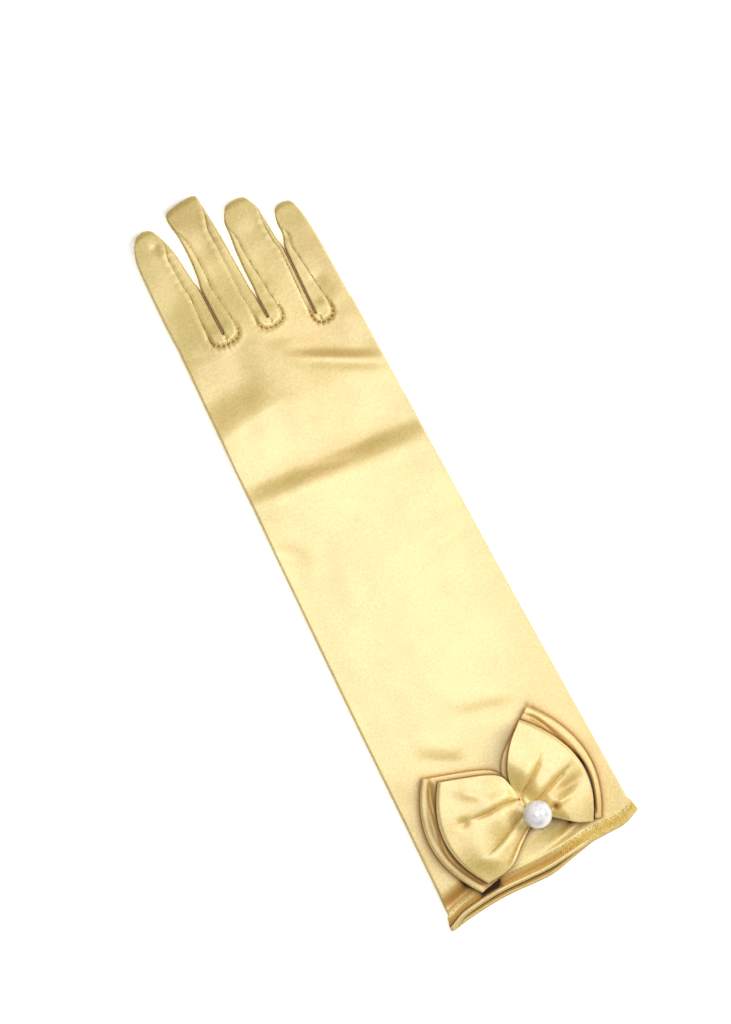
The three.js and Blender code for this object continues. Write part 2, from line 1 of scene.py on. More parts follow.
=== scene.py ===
# Looks of a child's long satin dress glove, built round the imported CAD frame.
# Shapes are worked out in millimetres in the glove's own plan: the hem's
# middle is the origin, +y runs to the fingertips, +x to the little finger and
# +z out of the back of the hand. They are moved into the frame at the end.
import math

import bpy
import numpy as np
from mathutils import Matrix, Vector
from mathutils.bvhtree import BVHTree


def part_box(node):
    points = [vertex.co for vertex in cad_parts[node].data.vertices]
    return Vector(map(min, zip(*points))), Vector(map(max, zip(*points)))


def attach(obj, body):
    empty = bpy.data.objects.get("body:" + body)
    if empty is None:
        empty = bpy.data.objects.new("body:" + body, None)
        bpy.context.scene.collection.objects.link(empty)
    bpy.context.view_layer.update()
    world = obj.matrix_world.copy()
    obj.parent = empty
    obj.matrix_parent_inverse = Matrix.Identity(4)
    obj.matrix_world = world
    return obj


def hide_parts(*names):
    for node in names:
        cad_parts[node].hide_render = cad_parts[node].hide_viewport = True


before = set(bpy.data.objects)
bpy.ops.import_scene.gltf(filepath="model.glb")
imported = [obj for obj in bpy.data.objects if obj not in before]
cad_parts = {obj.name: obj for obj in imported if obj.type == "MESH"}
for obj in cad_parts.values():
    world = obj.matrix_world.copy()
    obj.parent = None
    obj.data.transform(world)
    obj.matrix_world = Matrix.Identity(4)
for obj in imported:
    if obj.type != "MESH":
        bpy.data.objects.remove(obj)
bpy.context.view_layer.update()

MM = 0.001


# Tables and curves
def table(columns, *rows):
    """Rows of numbers under their column names."""
    return dict(zip(columns.split(), np.array(rows, float).T))


def curve(xs, ys, at):
    """A smooth curve through points that never swings past them."""
    step = np.diff(xs)
    slope = np.diff(ys) / step
    tangent = np.zeros(len(xs))
    tangent[0], tangent[-1] = slope[0], slope[-1]
    for k in range(1, len(xs) - 1):
        if slope[k - 1] * slope[k] > 0:
            before, after = 2 * step[k] + step[k - 1], step[k] + 2 * step[k - 1]
            tangent[k] = (before + after) / (before / slope[k - 1] + after / slope[k])
    at = np.clip(at, xs[0], xs[-1])
    i = np.clip(np.searchsorted(xs, at, "right") - 1, 0, len(step) - 1)
    t = (at - xs[i]) / step[i]
    start = ys[i] * (1 + 2 * t) * (1 - t) ** 2 + step[i] * tangent[i] * t * (1 - t) ** 2
    end = ys[i + 1] * t * t * (3 - 2 * t) + step[i] * tangent[i + 1] * t * t * (t - 1)
    return start + end


def read(rows, place, name):
    """A table's column, read at a place between its rows."""
    key = next(iter(rows))
    return curve(rows[key], rows[name], place)


def smooth(t):
    s = np.clip(t, 0, 1)
    return s * s * (3 - 2 * s)


def mix(a, b, t):
    return a + (b - a) * t


def shoulder(distance, reach):
    """A rounded shoulder: 0 at an edge, 1 from the reach inwards."""
    t = 1 - np.clip(distance / reach, 0, 1)
    return np.sqrt(np.clip(1 - t * t, 0, 1))


def bell(distance, width):
    return np.exp(-((distance / width) ** 2))


def round_turns(count):
    """Turns evenly round a circle."""
    return np.linspace(0, 2 * math.pi, count, endpoint=False)


def waves(x, y, seed, length, stretch=1.0):
    """An even, seeded swell of about 1 high, with waves of about this length."""
    rng = np.random.default_rng(seed)
    swell = np.zeros(np.broadcast(x, y).shape)
    count = 14
    for _ in range(count):
        turn = rng.uniform(0, 2 * math.pi)
        number = 2 * math.pi / (length * rng.uniform(0.7, 1.5))
        start = rng.uniform(0, 2 * math.pi)
        swell += np.sin((x * math.cos(turn) / stretch + y * math.sin(turn)) * number + start)
    return swell / math.sqrt(count)


def near_line(line, x, y):
    """Distance to a line of points, the way along it to the nearest point,
    and which side of it a place is on (1 to its left)."""
    best = np.full(np.broadcast(x, y).shape, 1e9)
    along = np.zeros_like(best)
    side = np.ones_like(best)
    gone = 0.0
    for a, b in zip(line[:-1], line[1:]):
        way = b - a
        length = max(math.hypot(*way), 1e-6)
        t = np.clip(((x - a[0]) * way[0] + (y - a[1]) * way[1]) / length ** 2, 0, 1)
        dx, dy = x - a[0] - way[0] * t, y - a[1] - way[1] * t
        away = np.hypot(dx, dy)
        closer = away < best - 1e-9
        best = np.where(closer, away, best)
        along = np.where(closer, gone + t * length, along)
        side = np.where(closer, np.where(way[0] * dy - way[1] * dx >= 0, 1.0, -1.0), side)
        gone += length
    return best, along, side


def gone_along(line):
    """The way gone along a line of points, at each of them."""
    return np.concatenate([[0], np.cumsum(np.linalg.norm(np.diff(line, axis=0), axis=1))])


def spline(points, shares):
    """Places on a smooth line through points, by shares of its length."""
    points = np.array(points, float)
    ends = [2 * points[0] - points[1], *points, 2 * points[-1] - points[-2]]
    fine = []
    for a, b, c, d in zip(ends[:-3], ends[1:-2], ends[2:-1], ends[3:]):
        for t in np.linspace(0, 1, 24, endpoint=False):
            fine.append(
                0.5 * (2 * b + (c - a) * t + (2 * a - 5 * b + 4 * c - d) * t ** 2
                       + (3 * b - a - 3 * c + d) * t ** 3)
            )
    fine = np.array([*fine, points[-1]])
    gone = gone_along(fine)
    place = np.asarray(shares) * gone[-1]
    return np.stack([np.interp(place, gone, fine[:, k]) for k in range(fine.shape[1])], -1)


# Sizes of the real piece, in millimetres
CLOTH = 1.0
HEM_CLOTH = 1.6
SEAM_GAP = 0.3
STITCHED_GAP = 0.05
SLIT_GAP = 0.1
SLIT_HELD = (20.5, 8.5, 31.0)
SLIT_OPENS = 7.0
GLOVE_LENGTH = 341.0
HAND_LENGTH = 138.0
WRIST = GLOVE_LENGTH - HAND_LENGTH
CUFF_WIDTH = 96.5
WRIST_WIDTH = 85.3
PALM_WIDTH = 80.9
SLEEVE_HEIGHT = 9.0
FINGER_HEIGHT = 9.0
EDGE_ROUND = 0.9
UNDER_ROUND = 3.2
TIP_ROUND = 1.0
EDGE_LEVEL = 0.74
HEM_DEPTH = 5.5
HEM_FLARE = 2.0
HEM_CURL = 3.2
THUMB_LENGTH = 60.0
THUMB_WIDTH = 25.0
THUMB_HEIGHT = 2.6
THUMB_HOLE_WIDTH = 17.0
THUMB_HOLE_LENGTH = 21.0
THUMB_HOLE_ALONG = 0.27
THUMB_TURN = math.radians(14)
THUMB_SLOPE = 14.0
UPPER_SLOPE = 34.0
FOURCHETTE_END = 5.5
BOW_SPAN = 82.0
BOW_CLOTH = 1.0
LOWER_BOW_HEIGHT = 4.8
UPPER_BOW_HEIGHT = 7.0
PINCH_HEIGHT = 3.6
PEARL_DIAMETER = 13.0
RIM_GROOVE = 1.2
RIM_GROOVE_IN = 3.4
SEAM_GROOVE = (0.22, 0.7)
SEAM_ROLL = 0.12
PUCKER = 0.07
PUCKER_PITCH = 3.3
SCALLOP = 0.2
SCALLOP_PITCH = 2.3
TAB_RISE = 0.6
HEM_FOLD = 2.6
HEM_RIDGE = 0.5

# Places along a finger as shares of its length, and its height there as shares
# of the finger height.
FINGER_ALONG = (0, 0.2, 0.4, 0.6, 0.78, 0.9, 0.97, 1)
FINGER_RISE = (1, 1, 1, 1, 1, 0.97, 0.94, 0.86)


def finger(tip, bow, lean, left, right):
    """A finger: its tip as a share of the hand length, how far its end bows
    out and leans, and its edges along it as shares of the palm width."""
    rows = table("along left right height", *zip(FINGER_ALONG, left, right, FINGER_RISE))
    return {"tip": tip, "bow": bow, "lean": lean, "rows": rows}


FINGERS = [
    finger(
        0.964, 3.2, 0.0,
        (-0.510, -0.512, -0.510, -0.506, -0.500, -0.487, -0.469, -0.452),
        (-0.247, -0.249, -0.253, -0.266, -0.280, -0.299, -0.314, -0.326)),
    finger(
        1.0, 1.9, 0.9,
        (-0.233, -0.236, -0.232, -0.220, -0.221, -0.231, -0.236, -0.233),
        (0.015, 0.008, 0.002, -0.004, -0.012, -0.018, -0.022, -0.025)),
    finger(
        0.925, 2.6, 0.0,
        (0.030, 0.026, 0.023, 0.028, 0.040, 0.044, 0.060, 0.074),
        (0.261, 0.266, 0.270, 0.265, 0.256, 0.251, 0.235, 0.223)),
    finger(
        0.846, 3.2, 0.0,
        (0.276, 0.278, 0.280, 0.286, 0.304, 0.305, 0.311, 0.318),
        (0.487, 0.484, 0.480, 0.475, 0.466, 0.457, 0.449, 0.442)),
]
# Where two fingers part, as a share of the hand length from the wrist.
CROTCHES = [0.558, 0.543, 0.482]

# The hem line of both sides, as shares of the cuff width short of the hem.
HEM_LINE = table(
    "across upper lower",
    (-1, -0.064, -0.068), (-0.8, -0.022, -0.049), (-0.4, -0.002, -0.033),
    (0, -0.008, -0.041), (0.3, 0.006, -0.013), (0.55, 0.018, 0.011),
    (0.8, 0.016, 0.013), (1, 0.050, 0.050))

# The strips between the fingers: their flange on each finger as shares of
# the palm width, at the roots and near the tips.
FOURCHETTES = [
    {"name": "fourchette_index_middle", "left": (0.085, 0.045), "right": (0.085, 0.020)},
    {"name": "fourchette_middle_ring", "left": (0.066, 0.042), "right": (0.085, 0.020)},
    {"name": "fourchette_ring_little", "left": (0.026, 0.020), "right": (0.098, 0.022)},
]
FLANGE_TOP = 0.87
SEAM_TOP = 0.96

# Half widths of the thumb as shares of its width, along its length.
THUMB_SECTIONS = table(
    "along half",
    (0, 0.22), (0.06, 0.40), (0.2, 0.50), (0.4, 0.49),
    (0.6, 0.41), (0.8, 0.37), (0.93, 0.27), (1, 0.11))
THUMB_START = np.array([-0.36 * PALM_WIDTH, WRIST + 0.065 * HAND_LENGTH])
THUMB_AXIS = np.array([math.sin(THUMB_TURN), math.cos(THUMB_TURN)])
THUMB_ASIDE = np.array([math.cos(THUMB_TURN), -math.sin(THUMB_TURN)])

# Folds of the upper side: middle, degrees from straight across, half length,
# half width and rise.
FOLDS = table(
    "x y turn reach spread rise",
    (22, 244, -28, 19, 2.6, -0.9),
    (9, 75, -14, 13, 2.6, -0.5),
    (8, 82, -14, 14, 3.6, 0.3),
    (-20, 64, -30, 11, 3.0, -0.5),
    (-17, 70, -30, 11, 3.4, 0.3),
    (27, 152, 8, 12, 3.4, -0.4),
    (27, 158, 8, 12, 3.4, 0.3),
    (-38, 177, -40, 9, 3.2, -0.5),
    (20, 10.5, 14, 13, 2.6, -1.9),
    (12, 17, 14, 15, 3.0, 0.6),
    (-40, 5, 14, 9, 3.0, -2.6),
    (-38, 12, 14, 12, 3.4, 0.5))
# Cloth that drops behind a crisp line and comes up softly beyond it: the
# line's middle, its turn and half length, and the drop's run, depth, the way
# back up and how deep a shade is painted on the drop.
STEPS = table(
    "x y turn reach run depth back shade",
    (0, 200.5, -4, 45, 10, 2.3, 30, 0.16),
    (21, 246, -28, 19, 5.5, 1.5, 15, 0.34),
    (-27, 241, 9, 17, 15, 1.6, 24, 0.12))
# Soft patches of painted shade, in the shade of folds and where the light falls off:
# middle, turn, half length, half width and depth of the shade. A negative one is painted light.
SHADES = table(
    "x y turn reach spread shade",
    (-41, 7.0, 14, 8, 3.6, 0.68),
    (-24, 3.4, 16, 5, 1.8, 1.0),
    (19, 12.6, 18, 8, 1.9, 0.62),
    (4, 9.5, 14, 15, 3.2, -0.3),
    (-45, 32, 84, 26, 5.0, 0.07),
    (45, 34, 84, 26, 5.0, 0.11),
    (42, 110, 90, 60, 12.0, 0.06),
    (8, 263, -10, 34, 8.0, 0.10),
    (0, 209, -4, 30, 5.5, 0.15),
    (12, 250, 0, 60, 24.0, 0.08),
    (33, 288, 76, 30, 9.0, 0.16),
    (-11, 331, 10, 10, 10.0, 0.16),
    (9, 75, -14, 12, 3.0, 0.07),
    (-20, 64, -30, 10, 3.0, 0.07))
# Small dents and bumps of the fingers.
DENTS = table(
    "x y radius depth",
    (-29.5, 328, 2.0, 0.5),
    (-27.0, 323, 2.2, -0.3),
    (-10.0, 318, 6.0, 0.6),
    (11.5, 316, 5.0, 0.4),
    (30.0, 283, 3.4, 0.6),
    (33.0, 272, 4.0, -0.5),
    (24.8, 306, 2.2, 0.5),
    (-19.2, 277.6, 0.7, 1.6),
    (2.2, 275.2, 0.7, 1.6),
    (22.6, 266.6, 0.7, 1.6))


# Meshes
class Skin:
    """A surface gathered from grids of points, welded into one mesh."""

    WELD = 1e-4

    def __init__(self):
        self.points, self.faces, self.count = [], [], 0

    def grid(self, rows, flip=False, closed=False):
        rows = np.asarray(rows, float)
        if closed:
            rows = np.concatenate([rows, rows[:, :1]], axis=1)
        n, m = rows.shape[:2]
        number = np.arange(n * m).reshape(n, m) + self.count
        corners = [number[:-1, :-1], number[:-1, 1:], number[1:, 1:], number[1:, :-1]]
        quads = np.stack(corners, -1).reshape(-1, 4)
        self.points.append(rows.reshape(-1, 3))
        self.faces.append(quads[:, ::-1] if flip else quads)
        self.count += n * m

    def piece(self, name, material):
        points = np.concatenate(self.points)
        faces = np.concatenate(self.faces)
        keys = np.round(points / self.WELD).astype(np.int64)
        _, first, where = np.unique(keys, axis=0, return_index=True, return_inverse=True)
        faces = where.reshape(-1)[faces]
        kept = []
        repeats = (faces == np.roll(faces, 1, axis=1)).any(axis=1)
        repeats |= (faces[:, 0] == faces[:, 2]) | (faces[:, 1] == faces[:, 3])
        kept.extend(faces[~repeats].tolist())
        for face in faces[repeats].tolist():
            bare = [v for k, v in enumerate(face) if v != face[k - 1]]
            if len(bare) == 3 and len(set(bare)) == 3:
                kept.append(bare)
        return add_piece(name, points[first], kept, material)


def add_object(name, data):
    made = bpy.data.objects.new(name, data)
    bpy.context.scene.collection.objects.link(made)
    return made


def add_piece(name, points, faces, material, smooth_faces=True):
    """Adds a mesh object at its place in the frame, from plan millimetres."""
    mesh = bpy.data.meshes.new(name)
    mesh.from_pydata(((np.asarray(points) + ORIGIN) * MM).tolist(), [], faces)
    mesh.validate()
    mesh.polygons.foreach_set("use_smooth", [smooth_faces] * len(mesh.polygons))
    if material:
        mesh.materials.append(material)
    return add_object(name, mesh)


def prism(outline, bottom, top):
    """An upright block over a plan outline."""
    n = len(outline)
    low = [(*p, bottom) for p in outline]
    high = [(*p, top) for p in outline]
    faces = [list(range(n))[::-1], list(range(n, 2 * n))]
    faces += [[i, (i + 1) % n, n + (i + 1) % n, n + i] for i in range(n)]
    return add_piece("cutter", low + high, faces, None, False)


def cut(piece, cutter, operation):
    """Cuts a piece with a block and throws the block away."""
    made = piece.modifiers.new("cut", "BOOLEAN")
    made.operation = operation
    made.solver = "MANIFOLD"
    made.object = cutter
    bpy.context.view_layer.update()
    depsgraph = bpy.context.evaluated_depsgraph_get()
    mesh = bpy.data.meshes.new_from_object(piece.evaluated_get(depsgraph))
    piece.modifiers.clear()
    before = piece.data
    piece.data = mesh
    bpy.data.meshes.remove(before)
    bpy.data.objects.remove(cutter)


# The plan's origin in the frame, from the pearl's place and the table.
BOW_MIDDLE = np.array([0.105 * PALM_WIDTH, 0.069 * GLOVE_LENGTH])
pearl_low, pearl_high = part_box("pearl")
pearl_middle = (pearl_low + pearl_high) / 2 / MM
ORIGIN = np.array([pearl_middle.x - BOW_MIDDLE[0], pearl_middle.y - BOW_MIDDLE[1], 0.0])


# Form of the glove
def sleeve_width(y):
    roots = WRIST + CROTCHES[0] * HAND_LENGTH
    low = mix(CUFF_WIDTH, WRIST_WIDTH, np.maximum(y, 0) / WRIST)
    high = mix(WRIST_WIDTH, PALM_WIDTH, (y - WRIST) / (roots - WRIST))
    return np.where(y < WRIST, low, high)


def sleeve_middle(y):
    edges = FINGERS[0]["rows"]["left"][0] + FINGERS[3]["rows"]["right"][0]
    roots = WRIST + CROTCHES[0] * HAND_LENGTH
    return edges / 2 * PALM_WIDTH * smooth(y / (roots / 2))


def lift(x, y, slope):
    """How far the palm is lifted by the thumb that lies under it."""
    dx, dy = x - THUMB_START[0], y - THUMB_START[1]
    along = dx * THUMB_AXIS[0] + dy * THUMB_AXIS[1]
    aside = np.abs(dx * THUMB_ASIDE[0] + dy * THUMB_ASIDE[1])
    half = read(THUMB_SECTIONS, along / THUMB_LENGTH, "half") * THUMB_WIDTH
    past = np.maximum(np.maximum(-along, along - THUMB_LENGTH), 0)
    away = np.hypot(np.maximum(aside - half, 0), past) - THUMB_SLOPE * 0.25
    return (THUMB_HEIGHT + SEAM_GAP) * smooth(1 - away / slope)


def turned(dx, dy, degrees):
    """A way seen along and across a direction."""
    turn = math.radians(degrees)
    return dx * math.cos(turn) + dy * math.sin(turn), dy * math.cos(turn) - dx * math.sin(turn)


def patches(rows, name, x, y, power=4):
    """Long soft patches of a table, each as high as its column of this name."""
    total = np.zeros(np.broadcast(x, y).shape)
    columns = [rows[key] for key in ("x", "y", "turn", "reach", "spread", name)]
    for px, py, degrees, reach, spread, value in zip(*columns):
        u, v = turned(x - px, y - py, degrees)
        total += value * np.exp(-np.abs(u / reach) ** power - (v / spread) ** 2)
    return total


def folds(x, y):
    """The height of the folds, of the crisp steps and of the small dents."""
    rise = patches(FOLDS, "rise", x, y)
    for px, py, degrees, reach, run, depth, back, _ in zip(*STEPS.values()):
        u, v = turned(x - px, y - py, degrees)
        slope = smooth(v / run) * (1 - smooth((v - run) / back))
        rise += np.exp(-((u / reach) ** 4)) * (0.3 * bell(v + 2, 2.5) - depth * slope)
    for px, py, radius, depth in zip(*DENTS.values()):
        rise -= depth * bell(np.hypot(x - px, y - py), radius)
    return rise


def finger_roots(i):
    left = CROTCHES[max(i - 1, 0)]
    right = CROTCHES[min(i, len(CROTCHES) - 1)]
    return WRIST + left * HAND_LENGTH, WRIST + right * HAND_LENGTH


def finger_y(i, along, a):
    left, right = finger_roots(i)
    root = mix(left, right, (a + 1) / 2)
    end = FINGERS[i]["bow"] * (np.sqrt(1 - a * a) - 0.6) + FINGERS[i]["lean"] * a
    tip = WRIST + FINGERS[i]["tip"] * HAND_LENGTH - TIP_ROUND
    return mix(root, tip, along) + end * smooth((along - 0.75) / 0.25)


def spread_line(i, along):
    """A finger's middle line and half width with the fingers spread apart."""
    rows = FINGERS[i]["rows"]
    left, right = rows["left"] * PALM_WIDTH, rows["right"] * PALM_WIDTH
    middle = curve(rows["along"], (left + right) / 2, along)
    half = curve(rows["along"], ((right - left) / 2) ** 2, along) ** 0.5
    return middle, half


def slit_table(number):
    """Heights in the plan and how much the slit closes up there."""
    along = np.linspace(0, 1, 80)
    edges = []
    for i, sign in ((number, 1), (number + 1, -1)):
        middle, half = spread_line(i, along)
        edges.append((finger_y(i, along, sign), middle + sign * half))
    crotch = WRIST + CROTCHES[number] * HAND_LENGTH
    y = crotch + np.linspace(0, SLIT_HELD[number] + SLIT_OPENS, 60)
    gap = np.interp(y, *edges[1]) - np.interp(y, *edges[0])
    held = 1 - smooth((y - crotch - SLIT_HELD[number]) / SLIT_OPENS)
    return y, np.maximum(gap - SLIT_GAP, 0) * held


SLITS = [slit_table(k) for k in range(len(CROTCHES))]


def slit_close(number, y):
    """How much the slit between two fingers closes up above its crotch."""
    if not 0 <= number < len(CROTCHES):
        return 0 * y
    return np.interp(y, *SLITS[number])


def finger_line(i, along):
    """A finger's middle line and half width, with sides that touch the next
    fingers above the crotches."""
    middle, half = spread_line(i, along)
    left = slit_close(i - 1, finger_y(i, along, -1.0))
    right = slit_close(i, finger_y(i, along, 1.0))
    return middle + (right - left) / 4, half + (right + left) / 4


def seam_line(number, grow=0.0):
    """A fourchette's seam seen from above: down beside one finger's edge,
    round the end below the roots and up beside the next finger's edge."""
    strip = FOURCHETTES[number]
    along = np.linspace(0, SEAM_TOP, 48)
    sides = []
    for i, sign in ((number, -1), (number + 1, 1)):
        root, tip = strip["left" if sign < 0 else "right"]
        middle, half = finger_line(i, along)
        flange = mix(root, tip, along / FLANGE_TOP) * PALM_WIDTH + grow
        flange = flange * (1 - smooth((along - 0.72) / (SEAM_TOP - 0.72)))
        x = middle - sign * (half - flange)
        sides.append(np.stack([x, finger_y(i, along, -sign)], -1))
    left, right = sides
    bottom = WRIST + CROTCHES[number] * HAND_LENGTH - FOURCHETTE_END - grow
    middle = (left[0] + right[0]) / 2
    turn = np.linspace(math.pi, 2 * math.pi, 25)[1:-1]
    wide, deep = (right[0][0] - left[0][0]) / 2, middle[1] - bottom
    power = 0.8
    end = np.stack([
        middle[0] + wide * np.sign(np.cos(turn)) * np.abs(np.cos(turn)) ** power,
        middle[1] + deep * np.sign(np.sin(turn)) * np.abs(np.sin(turn)) ** power,
    ], -1)
    return np.concatenate([left[::-1], end, right])


SEAMS = [seam_line(k) for k in range(len(FOURCHETTES))]


def seam_relief(x, y):
    """Grooves, rolls and puckers along the seams, and the raised ends."""
    rise = np.zeros(x.shape)
    for line in SEAMS:
        low, high = line.min(0) - 8, line.max(0) + 8
        near = (x > low[0]) & (x < high[0]) & (y > low[1]) & (y < high[1])
        away, along, side = near_line(line, x[near], y[near])
        end = smooth((line[:, 1].min() + 11 - y[near]) / 5)
        groove = -mix(*SEAM_GROOVE, end) * bell(away, 0.65)
        roll = SEAM_ROLL * bell(away - 1.9, 1.2)
        pitch = PUCKER_PITCH + 0.5 * np.sin(along / 17)
        pucker = PUCKER * np.sin(2 * math.pi * along / pitch) * bell(away - 1.0, 2.0)
        wave = np.cos(2 * math.pi * along / SCALLOP_PITCH)
        scallop = SCALLOP * wave * bell(away - 0.7, 0.8) * end
        tab = TAB_RISE * smooth(away / 1.2) * end * (side > 0)
        fade = smooth(np.minimum(along, gone_along(line)[-1] - along) / 9)
        rise[near] += (groove + roll + pucker + scallop + tab) * fade
    return rise


def hem_y(x, side):
    """Where the hem line of the upper or the lower side runs."""
    return read(HEM_LINE, 2 * x / (CUFF_WIDTH + 2 * HEM_FLARE), side) * CUFF_WIDTH


def hem_slope(x, y):
    """Depth behind the hem line, the share of the band's sloping fold, and
    how far the band lies flat towards the overlocked corner."""
    depth = y - hem_y(x, "upper")
    slope = smooth((4.8 - depth) / 3.4) * (1 - smooth((1.6 - depth) / 0.7))
    return depth, slope, smooth((x - 14) / 10)


def hem_relief(x, y):
    """The hem's turned band: a sloping fold behind a rolled rim."""
    depth, slope, flat = hem_slope(x, y)
    ripple = 0.2 * np.sin(x * 1.1 + 2 * np.sin(x * 0.17)) * bell(depth - 3.2, 2.6)
    ridge = HEM_RIDGE * bell(depth - 6.0, 0.9) * (1 - flat)
    return ridge - mix(HEM_FOLD, 0.4, flat) * slope + ripple * flat


def relief(x, y):
    """All the fine height that the upper side has beyond its plain form."""
    swell = 0.14 * waves(x, y, 3, 38, 1.5) + 0.05 * waves(x, y, 4, 12)
    return seam_relief(x, y) + swell


def sides(x, y_upper, y_lower, height, distance, inset, detail):
    """Upper and lower points of the cloth, from their distance to the edge."""
    base = lift(x, y_upper, THUMB_SLOPE) + inset
    upper_base = lift(x, y_upper, UPPER_SLOPE) + inset
    inner = np.maximum(height - 2 * inset, 0.3)
    edge = inner * EDGE_LEVEL
    up = shoulder(distance, EDGE_ROUND)
    under = shoulder(distance, UNDER_ROUND)
    rise = folds(x, y_upper) + hem_relief(x, y_upper) + (relief(x, y_upper) if detail else 0)
    top = base + edge + (upper_base - base + inner - edge + rise) * up
    curl = HEM_CURL * bell(y_lower - hem_y(x, "lower"), 2.0)
    bottom = base + edge * (1 - under) + curl * under
    return np.stack([x, y_upper, top], -1), np.stack([x, y_lower, bottom], -1)


COLUMNS = 31
even = np.linspace(-1, 1, COLUMNS)
ACROSS = 0.6 * even + 0.4 * np.sin(even * math.pi / 2)


def finger_sides(i, along, inset, detail=False):
    rows = FINGERS[i]["rows"]
    along = np.asarray(along)[:, None]
    middle, half = finger_line(i, along)
    half = half - inset
    height = read(rows, along, "height") * FINGER_HEIGHT
    x = middle + ACROSS * half
    y = finger_y(i, along, ACROSS) - inset
    return sides(x, y, y, height + 0 * x, half * (1 - np.abs(ACROSS)), inset, detail)


def body_sides(inset, hem_inset, steps, detail=False):
    """Rows of the sleeve and palm, from the hem to the roots."""
    roots = np.concatenate([finger_sides(i, [0], inset)[0][0] for i in range(4)])
    shares = (roots[:, 0] - roots[0, 0]) / (roots[-1, 0] - roots[0, 0])
    hem_steps, sleeve_steps, hand_steps = steps
    depths = np.linspace(0, HEM_DEPTH + CLOTH, hem_steps)
    band = [0, HEM_DEPTH, HEM_DEPTH + CLOTH]
    flares = np.interp(depths, band, [HEM_FLARE, HEM_FLARE * 0.4, 0])
    walls = np.interp(depths, band, [hem_inset, hem_inset, inset])
    hem = {side: read(HEM_LINE, 2 * shares - 1, side) * CUFF_WIDTH for side in ("upper", "lower")}
    placed = {}
    for side, line in hem.items():
        low = line + depths[:, None]
        share = np.interp(np.linspace(0, 1, sleeve_steps + 1)[1:], [0, 0.6, 1], [0, 0.3, 1])
        sleeve = mix(low[-1], WRIST, share[:, None])
        hand = mix(WRIST, roots[:, 1], np.linspace(0, 1, hand_steps + 1)[1:-1, None])
        placed[side] = np.concatenate([low, sleeve, hand])
    rest = len(placed["upper"]) - len(depths)
    flare = np.concatenate([flares, np.zeros(rest)])[:, None]
    wall = np.concatenate([walls, np.full(rest, inset)])[:, None]
    y = placed["upper"]
    width = sleeve_width(y) + 2 * flare - 2 * wall
    x = sleeve_middle(y) + (shares - 0.5) * width
    aside = np.minimum(shares, 1 - shares) * width
    near = aside
    for k in range(len(CROTCHES)):
        middle = (roots[(k + 1) * COLUMNS - 1] + roots[(k + 1) * COLUMNS]) / 2
        near = np.minimum(near, np.hypot(x - middle[0], y - middle[1]))
    palm = smooth((y - WRIST) / (roots[0, 1] - WRIST))
    height = mix(SLEEVE_HEIGHT, FINGER_HEIGHT, palm)
    upper, lower = sides(x, y, placed["lower"], height, near, wall, detail)
    closed = aside < 1e-6
    lower[closed] = upper[closed]
    top = [finger_sides(i, [0], inset, detail) for i in range(4)]
    upper = np.concatenate([upper, np.concatenate([t[0] for t in top], axis=1)])
    lower = np.concatenate([lower, np.concatenate([t[1] for t in top], axis=1)])
    return upper, lower


def glove_shell():
    """The whole glove as a wall of cloth, open at the hem."""
    skin = Skin()
    hems = []
    for inset, hem_inset, steps, rows, flip in (
        (0, 0, (14, 140, 76), 60, False),
        (CLOTH, HEM_CLOTH, (14, 30, 20), 18, True),
    ):
        detail = not flip
        upper, lower = body_sides(inset, hem_inset, steps, detail)
        skin.grid(upper, flip)
        skin.grid(lower, not flip)
        hems.append((upper[0], lower[0]))
        along = 1 - (1 - np.linspace(0, 1, rows)) ** 1.5
        for i in range(len(FINGERS)):
            upper, lower = finger_sides(i, along, inset, detail)
            skin.grid(upper, flip)
            skin.grid(lower, not flip)
            middle, half = (upper[-1] + lower[-1]) / 2, (upper[-1] - lower[-1]) / 2
            cap = []
            for turn in np.linspace(math.pi / 2, -math.pi / 2, 9 if detail else 5):
                row = middle + half * math.sin(turn)
                row[:, 1] += half[:, 2] / half[:, 2].max() * TIP_ROUND * math.cos(turn)
                cap.append(row)
            skin.grid(cap, flip)
    for side, flip in ((0, True), (1, False)):
        outer, inner = hems[0][side], hems[1][side]
        rim = []
        for turn in np.linspace(0, math.pi, 9):
            row = (outer + inner) / 2 + (outer - inner) / 2 * math.cos(turn)
            row[:, 1] -= HEM_CLOTH / 2 * math.sin(turn)
            rim.append(row)
        skin.grid(rim, flip)
    return skin.piece("trank", satin)


def fourchette_block(number, grow):
    line = seam_line(number, grow)
    past = 2 * CLOTH
    top = [line[-1] + (-past, 0), line[0] + (past, 0)]
    return prism([*line, *top], -5, 3 * SLEEVE_HEIGHT)


def thumb_hole(bottom, top):
    turns = round_turns(48)
    along = THUMB_HOLE_ALONG * THUMB_LENGTH + np.cos(turns) * THUMB_HOLE_LENGTH / 2
    aside = np.sin(turns) * THUMB_HOLE_WIDTH / 2
    outline = THUMB_START + np.outer(along, THUMB_AXIS) + np.outer(aside, THUMB_ASIDE)
    return prism(outline[::-1], bottom, top)


def thumb_sides(inset, steps):
    share = np.linspace(0, 1, steps)[:, None]
    share = smooth(share) * 0.5 + share * 0.5
    along = mix(inset, THUMB_LENGTH - inset, share)
    half = read(THUMB_SECTIONS, share, "half") * THUMB_WIDTH - inset
    even = np.linspace(-1, 1, 33)
    across = 0.5 * even + 0.5 * np.sin(even * math.pi / 2)
    plan = THUMB_START + along[..., None] * THUMB_AXIS + (across * half)[..., None] * THUMB_ASIDE
    height = THUMB_HEIGHT - 2 * inset
    round_off = shoulder(half * (1 - np.abs(across)), 1.6)
    upper = inset + height / 2 * (1 + round_off)
    lower = inset + height / 2 * (1 - round_off)
    return (
        np.concatenate([plan, upper[..., None]], -1),
        np.concatenate([plan, lower[..., None]], -1),
    )


